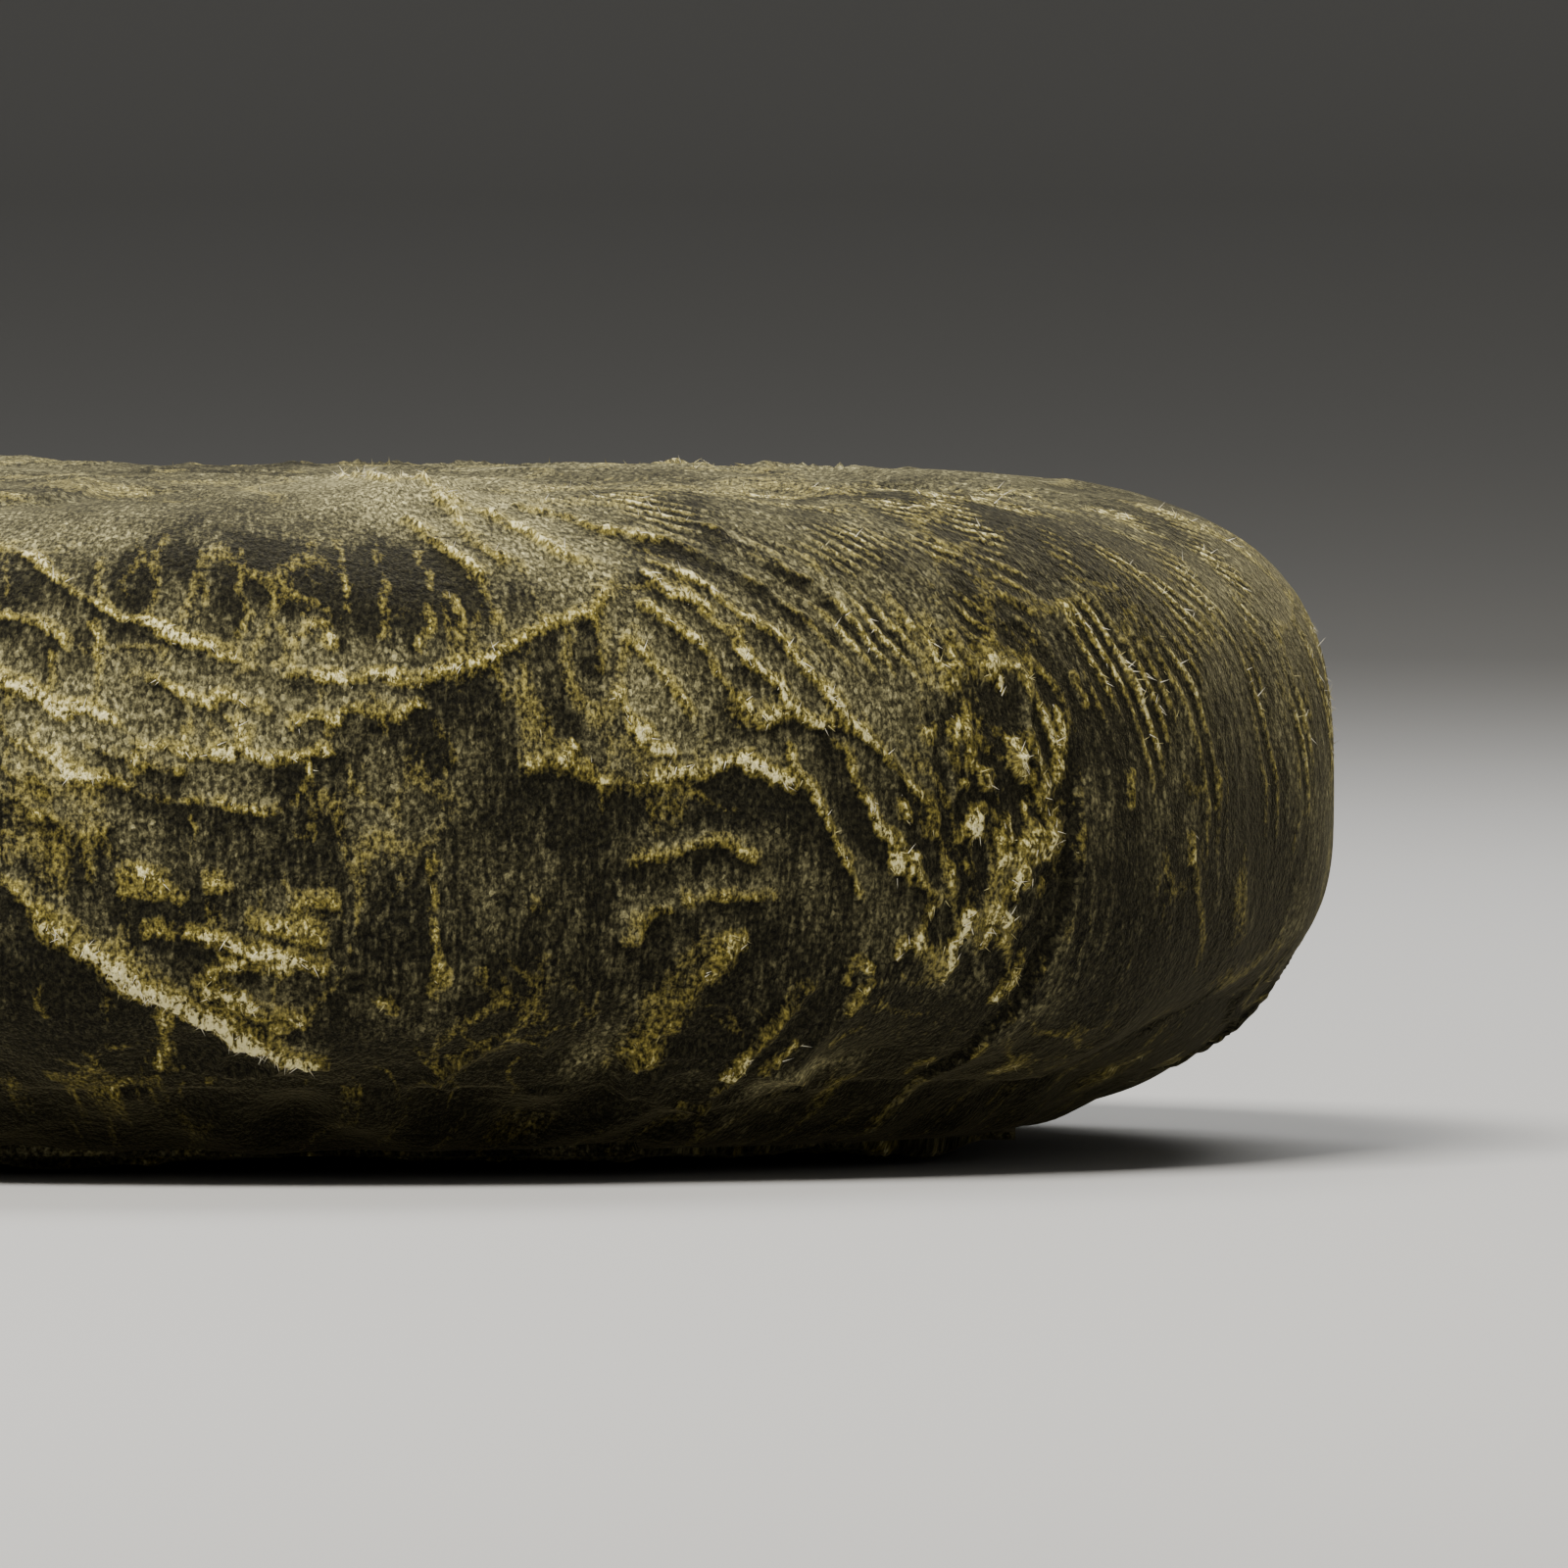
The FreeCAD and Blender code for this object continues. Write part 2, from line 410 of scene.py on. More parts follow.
def random_crush(cloth):
    """The all-over crush: soft slack, and a faint net of crests that comes and goes."""
    spot = cloth.spot
    on_side = smooth(cloth.path, TOP_PATH - 4, TOP_PATH + 6)
    cloth.lift += 0.13 * waves(spot, 16.0, 11) * (0.35 + 0.65 * on_side) + 0.05 * waves(spot, 6.0, 12)
    warped = spot + 0.6 * waves(spot, 5.0, 13)[:, None]
    patch = smooth(waves(spot, 9.0, 14), -0.1, 1.3)
    net = thin_net(warped * [1, 1, 0.45], 3.4, 15, 0.4)
    cloth.lift += 0.05 * patch * net
    cloth.wear(slice(None), 0.42 * patch * net)
    fine = thin_net(warped * [1, 1, 0.35], 1.8, 16, 0.3)
    cloth.wear(slice(None), 0.34 * fine * smooth(waves(spot, 5.0, 17), 0.0, 1.5))
    cloth.nap_and_painted_light += 0.25 * waves(spot, 8.0, 18) + 0.22 * waves(spot * [1, 1, 0.4], 2.0, 19)
    # the last term is painted shade: the cloth is made darker towards the bottom, below 9 mm of height
    cloth.nap_and_painted_light += 0.35 * (2 * patch - 1) * net - 1.1 * smooth(9.0 - cloth.height, 0, 7.0)


def top_creases(cloth):
    """Soft folds over the top, which leave the glued middle for the rim."""
    on_top = 1 - smooth(cloth.path, TOP_PATH - 1, TOP_PATH + 5)
    flat = cloth.spot * [1, 1, 0]
    out = smooth(cloth.radius, 9, 20)
    rays = place(cloth.azimuth, 15.0, 0)
    folds = crests(rays + 0.8 * waves(flat, 7.0, 31)[:, None], 6.0, 32, 1.6)
    cloth.lift += on_top * (0.26 * out * (folds - 0.35) + 0.06 * waves(flat, 6.0, 33) - 0.1)
    bent = flat + 1.0 * waves(flat, 9.0, 34)[:, None]
    net = thin_net(bent, 5.0, 35, 0.5)
    lines = thin_net(rays + 0.8 * waves(flat, 7.0, 31)[:, None], 4.0, 36, 0.35)
    cloth.lift += 0.1 * on_top * net
    some = smooth(waves(flat, 4.0, 37), -0.3, 1.0)
    cloth.wear(slice(None), on_top * np.maximum(0.6 * net * some, 0.55 * out * lines * some))
    broad = 0.3 * waves(flat, 11.0, 38)
    # the whole top is painted lighter, a painted light on its upper face, and its crease lines lighter
    # still
    cloth.nap_and_painted_light += on_top * (0.45 + 0.6 * net * some + 0.4 * out * (folds - 0.4) + broad)
    # a gathered hump at the front edge of the top, where the creases of the front meet; its pile is
    # painted lighter, a painted highlight
    across = turn_between(cloth.azimuth, 9.0) / 9.0
    down = (cloth.path - TOP_PATH + 0.5) / 3.4
    hump = np.exp(-(across**2) - down**2)
    cloth.lift += 0.45 * hump
    cloth.nap_and_painted_light += hump


# The front's creases, as (opening, route), each route as azimuths and heights from left to right. Where
# a crease parts the pile it is painted as a highlight.
SMILE = (
    (1.0, [(-22, 19.0), (-17, 18.6), (-13.5, 18.0), (-8.5, 16.6), (-4, 15.7), (-0.5, 14.9), (1, 14.8)]),
    (1.0, [(0, 14.7), (4.5, 14.7), (8, 14.6), (11, 15.1), (14.5, 15.8), (18, 16.6), (20, 17.5),
           (21.5, 18)]),
    (0.8, [(-22, 17.0), (-18, 16.5), (-15.5, 16.3), (-12.5, 16.2), (-9.5, 15.3)]),
    (0.9, [(-6.5, 14.7), (-4.5, 14.3), (-1.5, 13.9), (1, 13.6)]),
    (0.9, [(1, 13.3), (3, 13.5), (6, 13.6), (9, 13.8)]),
    (0.95, [(-22, 15.9), (-18, 15.4), (-15.5, 15.0), (-12.5, 14.2), (-9, 13.7), (-6.5, 13.0)]),
    (0.9, [(-7.5, 13.1), (-5, 12.7), (-1, 12.5), (1.5, 12.4), (4.5, 12.7)]),
    (0.95, [(-22, 14.9), (-18, 14.3), (-13.5, 13.2), (-9.5, 12.0), (-5.5, 11.4), (-1, 10.9), (2, 11.2)]),
    (0.8, [(-22, 13.0), (-18, 12.4), (-15.5, 11.8), (-12, 11.0), (-9, 10.3), (-6.5, 10.5)]),
    (0.45, [(-10, 12.9), (-7, 12.4), (-3.5, 11.8)]),
    (0.4, [(-17, 12.9), (-13.5, 12.2), (-10.5, 11.3)]),
)
PINCHES = (
    (0.55, [(-9, 18.1), (-9.2, 17.3), (-9.0, 16.6)]),
    (0.45, [(-6, 18.7), (-6.2, 17.4), (-6, 16.1)]),
    (0.5, [(-3.6, 18.3), (-3.4, 17.2), (-3.5, 16.0)]),
    (0.45, [(-1.2, 18.4), (-1, 17.0), (-1, 15.2)]),
    (0.5, [(1, 16.3), (1.2, 15.5), (0.8, 14.8)]),
    (0.7, [(1.8, 15.2), (2.4, 15.9), (3.8, 16.3)]),
    (0.75, [(9, 18.5), (9.6, 17.6), (9.4, 17.0)]),
    (0.75, [(9.2, 16.9), (8.8, 16.1), (8, 15.3)]),
    (0.7, [(10.4, 17.2), (10.6, 16.4), (10.4, 15.7)]),
    (0.5, [(12.4, 18.0), (12.8, 17.0), (12.6, 16.0)]),
    (0.5, [(2.4, 18.9), (2.7, 17.6), (2.5, 16.2), (2.8, 15.4)]),
    (0.55, [(4.5, 18.8), (4.9, 17.4), (4.6, 16.2)]),
    (0.45, [(6.6, 18.7), (6.9, 17.2), (6.5, 15.4)]),
    (0.4, [(-7.6, 18.6), (-7.4, 17.5), (-7.6, 16.4)]),
    (0.5, [(-11, 15.6), (-10.8, 14.9), (-11, 14.2)]),
    (0.5, [(-2.6, 13.7), (-2.4, 13.1), (-2.6, 12.5)]),
    (0.5, [(3.2, 14.4), (3.4, 13.4), (3.2, 12.6)]),
    (0.55, [(6.0, 14.4), (6.2, 13.9), (6.0, 13.0)]),
    (0.5, [(-11.4, 12.6), (-11.2, 11.9), (-11.4, 11.2)]),
    (0.5, [(-13.8, 12.8), (-13.6, 12.2), (-13.8, 11.6)]),
    (0.5, [(15.0, 18.3), (15.4, 17.3), (15.2, 16.3)]),
    (0.75, [(-8.9, 16.4), (-8.6, 15.2), (-9.1, 13.8)]),
    (0.6, [(-4.1, 14.2), (-4, 13.5), (-4.1, 12.7)]),
    (0.7, [(-6.4, 12.9), (-6.6, 12.4), (-6.2, 11.9)]),
    (0.75, [(-1.5, 13.8), (-1, 13.2), (-1.1, 12.5)]),
    (0.85, [(1.9, 12.5), (2, 11.8), (1.4, 11.0)]),
    (0.6, [(-12, 13.6), (-12.1, 13.1), (-11.8, 12.6)]),
    (0.6, [(-13.4, 15.0), (-13.6, 14.4), (-13.2, 13.6)]),
    (0.45, [(-4, 10.9), (-3.8, 10.2), (-3.6, 9.4)]),
    (0.5, [(-9, 10.3), (-9.1, 9.5), (-9, 8.7)]),
    (0.5, [(-15.4, 13.8), (-15.6, 13.0), (-15.2, 12.0)]),
    (0.5, [(-17.8, 15.4), (-18, 14.8), (-17.7, 14.3)]),
    (0.45, [(12.5, 15.3), (12.8, 14.6), (13, 13.8)]),
    (0.4, [(9, 13.9), (9.4, 12.8), (9.5, 11.6)]),
    (0.4, [(5.2, 12.6), (5, 11.5), (5.2, 10.4)]),
    (0.7, [(9.4, 9.9), (9, 8.8), (9.1, 7.6), (9, 6.4), (9.6, 5.2)]),
)
GATHER = (
    (0.9, [(6.5, 20.0), (9, 19.7), (11, 19.8), (13, 19.4), (15.5, 19.1), (18.5, 18.1), (21.5, 17.9)]),
    (0.8, [(11.5, 19.6), (13, 18.6), (14.5, 17.8)]),
    (0.9, [(16.5, 19.5), (19, 19.3), (22, 18.8), (25, 18.4)]),
    (0.8, [(8.5, 19.2), (11, 18.4), (12.8, 17.4)]),
)
FAN = (
    (1.0, [(22, 18.2), (25, 17.4), (28, 16.2), (30.5, 14.7), (33, 13.2), (35.5, 12), (37.2, 11),
           (38.5, 9.9)]),
    (0.95, [(21.5, 17.8), (24, 16.9), (26.5, 15.7), (28, 14.6), (29.4, 13.3)]),
    (0.95, [(31, 13), (32.5, 11.9), (34, 10.6), (35.5, 9.6), (37.2, 8.6), (38.5, 7.6)]),
    (0.85, [(20.5, 16.9), (22.5, 16.2), (24.5, 15), (26, 13.8), (27.4, 12.9)]),
    (0.8, [(28.2, 12.9), (29.5, 11.7), (30.8, 10.5), (32.2, 9.4), (33.8, 8.0)]),
    (0.75, [(19.5, 15.9), (21, 15.2), (22.2, 14.4), (23.8, 13.1)]),
    (0.95, [(19, 14.6), (20, 13.5), (21.3, 12.7), (22.6, 12.2)]),
    (0.45, [(24, 18.6), (28.5, 17.4), (32, 15.8)]),
    (0.35, [(27, 18.9), (31.5, 17.6), (35, 15.8)]),
)
ACROSS = (
    (0.9, [(26.5, 13.4), (28.5, 13.5), (30.5, 13.5), (32.4, 13.1)]),
    (1.15, [(19, 11.4), (21, 11.7), (23, 11.9), (25, 12.15), (27.5, 11.9), (29.8, 11.4)]),
    (0.65, [(13.5, 12.1), (15.5, 12.4), (17, 12.1), (19, 11.5)]),
    (0.6, [(19.6, 9.0), (20.6, 9.5), (22.5, 9.7), (25, 9.8), (27.5, 9.4)]),
    (0.75, [(22.4, 8.1), (25.5, 8.3), (28.6, 8.2)]),
    (0.5, [(19, 7.1), (21, 7.5), (22.3, 8.2)]),
    (0.5, [(19.2, 17.4), (18.8, 16.2), (18.6, 14.6)]),
)
LOW_LEFT = (
    (0.6, [(-20, 10.2), (-16, 9.6), (-12.5, 8.4), (-10, 7.2)]),
    (1.0, [(-7.8, 8.5), (-6, 8.6), (-4, 8.3)]),
    (0.7, [(-3.2, 8.7), (-1.2, 8.8)]),
    (0.85, [(-3.4, 6.3), (-1, 6.4), (1, 6.5), (3, 6.5)]),
    (0.85, [(-2.8, 5.3), (0, 5.0), (2.8, 4.7)]),
    (0.65, [(1.2, 8.1), (4.2, 8.3)]),
    (0.8, [(-6.4, 7.8), (-4.6, 7.2)]),
    (0.8, [(-5.4, 5.2), (-5.5, 4.1), (-6.2, 3.0)]),
    (1.05, [(-7.8, 9.3), (-5.8, 9.0), (-3.6, 8.2)]),
    (1.0, [(-4.6, 7.5), (-2, 7.1), (1, 6.7), (4, 6.1)]),
    (0.9, [(-1.2, 7.8), (1.4, 7.5), (3.6, 6.9)]),
    (0.95, [(-4.2, 5.9), (-1.4, 5.4), (1.6, 4.3)]),
    (0.45, [(-8.5, 6.6), (-8.6, 5.6), (-8.5, 4.5)]),
)
LOW_RIDGE = [(-12.5, 8.3), (-10, 7.2), (-8.5, 6.6), (-6.5, 5.8), (-4, 4.9), (-0.5, 3.9),
             (1.5, 3.5), (4.5, 3.3)]
# Tufts as (azimuth, height, how tall, how far they lean right in degrees, opening painted as a
# highlight)
TUFTS = (
    (3.6, 15.7, 0.4, 0.3, 0.8), (36.5, 9.2, 0.7, 0.4, 1.0), (39, 8.9, 0.9, 0.1, 0.8),
    (43.5, 8.4, 0.8, 0.2, 0.9), (43, 10.2, 0.9, 0.3, 0.8), (45.6, 11, 1.0, 0.4, 0.9),
    (46.6, 11.8, 0.9, 0.3, 0.9), (50, 16.2, 0.8, -0.3, 0.9), (43, 14.7, 1.5, -0.3, 0.9),
    (40.5, 15.2, 1.6, -0.4, 0.85), (37.5, 16.4, 1.3, -0.5, 0.75), (33.5, 17.7, 0.8, -0.6, 0.6),
    (40.5, 12.7, 1.0, -0.3, 0.9), (41, 10.5, 1.0, 0.1, 0.8), (37.5, 7.3, 1.4, 0.7, 1.1),
    (40, 7.2, 1.5, 0.7, 1.15), (42, 7.3, 1.3, 0.5, 1.1), (33.5, 6.1, 1.0, 0.5, 1.1),
    (34.4, 5.3, 1.2, 0.7, 0.8), (44.6, 5.6, 1.4, 0.9, 1.15), (57.5, 9.4, 1.2, 0.2, 0.7),
    (54, 14.2, 1.0, -0.3, 0.8), (49, 14.1, 1.2, -0.2, 0.9), (28, 3.6, 0.8, 0.3, 1.1),
    (31, 3.8, 0.6, 0.6, 0.9), (43, 3.0, 0.5, 0.6, 0.9), (16.6, 12.4, 0.8, 0.5, 1.1),
    (17.4, 12.0, 0.6, 0.3, 1.0), (6.8, 5.3, 0.7, -0.2, 0.7), (11.5, 6.2, 0.6, 0.2, 0.5),
    (14.5, 8.2, 0.5, 0.3, 0.5), (-11.8, 5.4, 1.1, -0.4, 0.5), (-9.8, 3.6, 1.0, -0.3, 0.5),
    (-6.6, 2.6, 0.9, 0.3, 0.6), (2.8, 2.2, 0.9, 0.5, 0.7), (52, 11.2, 1.3, 0.1, 0.6),
    (55, 8.2, 1.2, 0.2, 0.5), (61, 11.0, 1.3, 0.2, 0.5), (47.2, 13.0, 1.4, -0.1, 0.8),
)
# Patches of pile lie and of painted light and shade, as (azimuth, height, half width, half height, how
# much lighter)
# the dark patches low down and at the right end are painted shade; the bright ones at the top's front
# edge and at the foot are painted sheen
NAP_AND_LIGHT_PATCHES = (
    (-10, 18.5, 4.5, 1.0, 1.0), (-3, 19.1, 3.0, 0.7, 0.6), (1.2, 17.2, 4.4, 1.7, -1.9),
    (7.8, 17.2, 1.8, 1.4, -1.3), (11.0, 19.7, 3.6, 1.0, 3.6), (17.5, 18.2, 2.2, 0.9, 1.6),
    (-13, 14.0, 5.0, 3.5, 0.95), (-1, 13.0, 4.5, 2.0, 0.5), (11, 9.0, 6.0, 3.6, -0.25),
    (14, 13.7, 1.8, 1.1, -0.6), (20.6, 14.4, 1.2, 2.2, 1.1), (35.5, 14.9, 2.4, 2.2, 1.1),
    (30, 17.8, 4.5, 0.8, 0.3), (48, 18.2, 8.0, 1.6, -0.8), (36.5, 9.8, 2.0, 1.5, -0.5),
    (25, 10.7, 3.6, 0.7, -0.9), (-12, 5.4, 4.0, 2.8, -0.8), (0.5, 5.8, 3.5, 1.3, 0.8),
    (34, 2.9, 3.2, 0.5, 2.2), (57, 16.5, 6.0, 3.0, -0.6), (66, 16.6, 2.5, 1.2, 0.9),
    (64, 9.0, 8.0, 3.5, -0.8), (60, 3.5, 9.0, 2.6, -1.2), (28, 6.0, 2.0, 2.4, -0.5),
    (47.0, 7.0, 0.9, 1.8, 1.0),
)

# How each kind of crease stands, wherever round the bundle it is.
PINCH = {"lift": 0.05, "bank": 0.5, "shade": 0.45, "spread": 0.34}
FANNED = {"lift": 0.16, "bank": 0.9, "spread": 0.42}
CROSSING = {"lift": 0.14, "bank": 0.8}
CRUSHED = {"bottom": 5.0, "top": 16.5, "lift": 0.12, "opened_and_highlit": 0.72}
# The other sides, each as the azimuth its front stands at and 1, or -1 where it is mirrored.
OTHER_SIDES = ((130.0, 1), (238.0, -1), (290.0, 1))


def front_creases(cloth):
    """The front, crease by crease."""
    creases(cloth, SMILE, 100, spread=0.44, lift=0.12)
    creases(cloth, PINCHES, 130, **PINCH)
    creases(cloth, GATHER, 170, lift=0.24, bank=1.2, shade=1.0, spread=0.8)
    creases(cloth, FAN, 180, **FANNED)
    creases(cloth, ACROSS, 195, **CROSSING)
    creases(cloth, LOW_LEFT, 210, lift=0.08, bank=0.5, shade=0.7, spread=0.55)
    crease(cloth, LOW_RIDGE, opened_and_highlit=1.25, lift=0.3, bank=1.5, shade=1.2, spread=1.0, seed=225)
    # a thick golden tuft low on the front, and the fold beside it
    crease(cloth, [(21.8, 3.2), (23, 4.8), (24.5, 6.1), (26.3, 7.1)], opened_and_highlit=0.62, lift=0.36, bank=1.3,
           shade=0.5, spread=1.7, seed=226)
    crease(cloth, [(24.6, 6.7), (25.6, 7.0), (26.8, 7.1)], opened_and_highlit=1.1, spread=0.5, seed=227)
    crease(cloth, [(27.0, 2.2), (28.4, 3.6), (30.4, 5.2), (31.5, 6.2)], opened_and_highlit=0.4, lift=0.3, bank=1.2,
           shade=0.5, spread=0.9, seed=228)
    for number, (azimuth, height, tall, lean, opened_and_highlit) in enumerate(TUFTS):
        tuft_mark(cloth, azimuth, height, tall, lean, opened_and_highlit, 230 + number)
    # patches of pile lie and of painted light and shade
    for number, (azimuth, height, wide, high, amount) in enumerate(NAP_AND_LIGHT_PATCHES):
        nap_and_light_patch(cloth, azimuth, height, wide, high, amount, 330 + number)
    # low at the right end the cloth lies close to the cake
    across = turn_between(cloth.azimuth, 92.0) / 32.0
    up = (cloth.height - 3.6) / 3.4
    cloth.lift -= 0.9 * np.exp(-(across**2) - up**2)
    # the crushed column, and the pleats beyond the fold that lies over at the corner
    crumple(cloth, 37.5, 47.0, seed=360, **CRUSHED)
    flecks(cloth, 42.5, 1, 2000)
    pleats(cloth, 34.0, 96.0, 190)


def moved(routes, centre, turn, rng):
    """Creases of the front at another place round the bundle, each a little changed. A turn of -1
    mirrors them."""
    made = []
    for opened_and_highlit, route in routes:
        slip = rng.uniform(-1.2, 1.2)
        rise = rng.uniform(-0.45, 0.45)
        stretch = rng.uniform(0.88, 1.15)
        middle = sum(azimuth for azimuth, _ in route) / len(route)
        there = [(centre + turn * (middle + slip + stretch * (azimuth - middle)), height + rise)
                 for azimuth, height in route]
        made.append((opened_and_highlit * rng.uniform(0.65, 1.05), there[::turn]))
    return made


def other_sides(cloth):
    """The rest of the way round, made of the same kinds of creases."""
    for quarter, (centre, turn) in enumerate(OTHER_SIDES):
        seed = 1000 + 200 * quarter
        rng = np.random.default_rng(seed)
        creases(cloth, moved(SMILE, centre, turn, rng), seed)
        creases(cloth, moved(PINCHES, centre, turn, rng), seed + 20, **PINCH)
        creases(cloth, moved(GATHER, centre, turn, rng), seed + 50, lift=0.22, bank=1.2, spread=0.7)
        creases(cloth, moved(FAN, centre, turn, rng), seed + 60, **FANNED)
        creases(cloth, moved(ACROSS, centre, turn, rng), seed + 70, **CROSSING)
        creases(cloth, moved(LOW_LEFT, centre, turn, rng), seed + 80, lift=0.08, bank=0.5, shade=0.7)
        ridge = moved([(1.2, LOW_RIDGE)], centre, turn, rng)
        creases(cloth, ridge, seed + 90, lift=0.3, bank=1.5, spread=0.9)
        for number, (azimuth, height, tall, lean, opened_and_highlit) in enumerate(TUFTS):
            there = centre + turn * (azimuth + rng.uniform(-4, 4))
            level = height + rng.uniform(-1.5, 1.5)
            faded = opened_and_highlit * rng.uniform(0.5, 1.0)
            tuft_mark(cloth, there, level, tall, turn * lean, faded, seed + 100 + number)
        for number, (azimuth, height, wide, high, amount) in enumerate(NAP_AND_LIGHT_PATCHES):
            there = centre + turn * (azimuth + rng.uniform(-5, 5))
            faded = amount * rng.uniform(0.3, 1.0)
            nap_and_light_patch(cloth, there, height, wide, high, faded, seed + 150 + number)
        column = centre + 43 * turn
        crumple(cloth, column - 4.5, column + 4.5, seed=seed + 95, **CRUSHED)
        flecks(cloth, column, turn, 2100 + 100 * quarter, count=45)
    pleats(cloth, 160.0, 200.0, 1400, sweep=24.0)
    pleats(cloth, 262.0, 286.0, 1410, sweep=16.0)
    pleats(cloth, 326.0, 342.0, 1420, sweep=14.0, opened_and_highlit=0.5)


def crush(cloth):
    """Everything that creases the crown of the wrap."""
    random_crush(cloth)
    top_creases(cloth)
    front_creases(cloth)
    other_sides(cloth)
    foot_folds(cloth, 300)
    for corner in range(QUARTERS):
        tuck(cloth, 45.6 + 90 * corner, 310 + corner)
    # the foot has little room over the cake, so nothing is pressed far in there
    cloth.lift = np.maximum(cloth.lift, -0.1 - 1.0 * smooth(cloth.height, 2.3, 5.4))
    cloth.opened_and_highlit = np.clip(cloth.opened_and_highlit, 0, 1.2)


# ---------------------------------------------------------------- meshes
def grid_quads(rows, wide, first=0):
    """Quads between rows of points, with wide points in each row, from the point first on."""
    row, column = np.meshgrid(np.arange(rows - 1), np.arange(wide - 1), indexing="ij")
    here = (first + row * wide + column).ravel()
    return np.stack([here, here + wide, here + wide + 1, here + 1], 1)


def new_mesh(name, points, faces):
    """A mesh of points given in mm."""
    mesh = bpy.data.meshes.new(name)
    mesh.from_pydata((points * MM).tolist(), [], faces)
    mesh.update()
    return mesh


def shade_smooth(mesh):
    """Let every face of a mesh blend with its neighbours in the light."""
    mesh.polygons.foreach_set("use_smooth", np.ones(len(mesh.polygons), bool))


def point_field(mesh, name, values):
    """A named number for each point, which the materials read."""
    field = mesh.attributes.new(name, "FLOAT", "POINT")
    field.data.foreach_set("value", np.asarray(values, np.float32))


def cloth_map(mesh, across, down):
    """A UV map in metres of cloth, for the weave."""
    corner = np.empty(len(mesh.loops), np.int32)
    mesh.loops.foreach_get("vertex_index", corner)
    layer = mesh.uv_layers.new(name="cloth")
    spread = np.column_stack([across[corner], down[corner]]).astype(np.float32)
    layer.data.foreach_set("uv", spread.ravel())


def add_object(name, mesh, *materials):
    """A piece in the scene, with its materials."""
    piece = bpy.data.objects.new(name, mesh)
    bpy.context.scene.collection.objects.link(piece)
    for material in materials:
        mesh.materials.append(material)
    return piece


def vertex_normals(points, faces):
    """Normals of a surface's points, weighed by the faces round them."""
    total = np.zeros_like(points)
    for quads in faces:
        if quads.shape[1] == 3:
            a = points[quads[:, 1]] - points[quads[:, 0]]
            b = points[quads[:, 2]] - points[quads[:, 0]]
        else:
            a = points[quads[:, 2]] - points[quads[:, 0]]
            b = points[quads[:, 3]] - points[quads[:, 1]]
        across = np.cross(a, b)
        for corner in range(quads.shape[1]):
            np.add.at(total, quads[:, corner], across)
    return total / np.maximum(np.linalg.norm(total, axis=1), 1e-12)[:, None]


def side_rows():
    """The paths of the rows of the side, from the top's edge to where the rim turns in."""
    end = path_at_height(foot_height(FOOT_RADIUS))
    return np.linspace(TOP_PATH, end, int(round((end - TOP_PATH) / ROW_STEP)) + 1)


def top_rings():
    """The top's rings, from its edge in: the path of each and how many points it has."""
    rings = [(TOP_PATH, COLUMNS)]
    count = COLUMNS // 2
    path = TOP_PATH - RING_STEP
    while count > FEWEST_POINTS:
        rings.append((path, count))
        spacing = 2 * math.pi * path / count
        step = max(spacing, RING_STEP)
        path -= step
        if path < step:
            break
        if 2 * math.pi * path / count < CLOSEST_POINTS and count % 2 == 0:
            count //= 2
    return rings


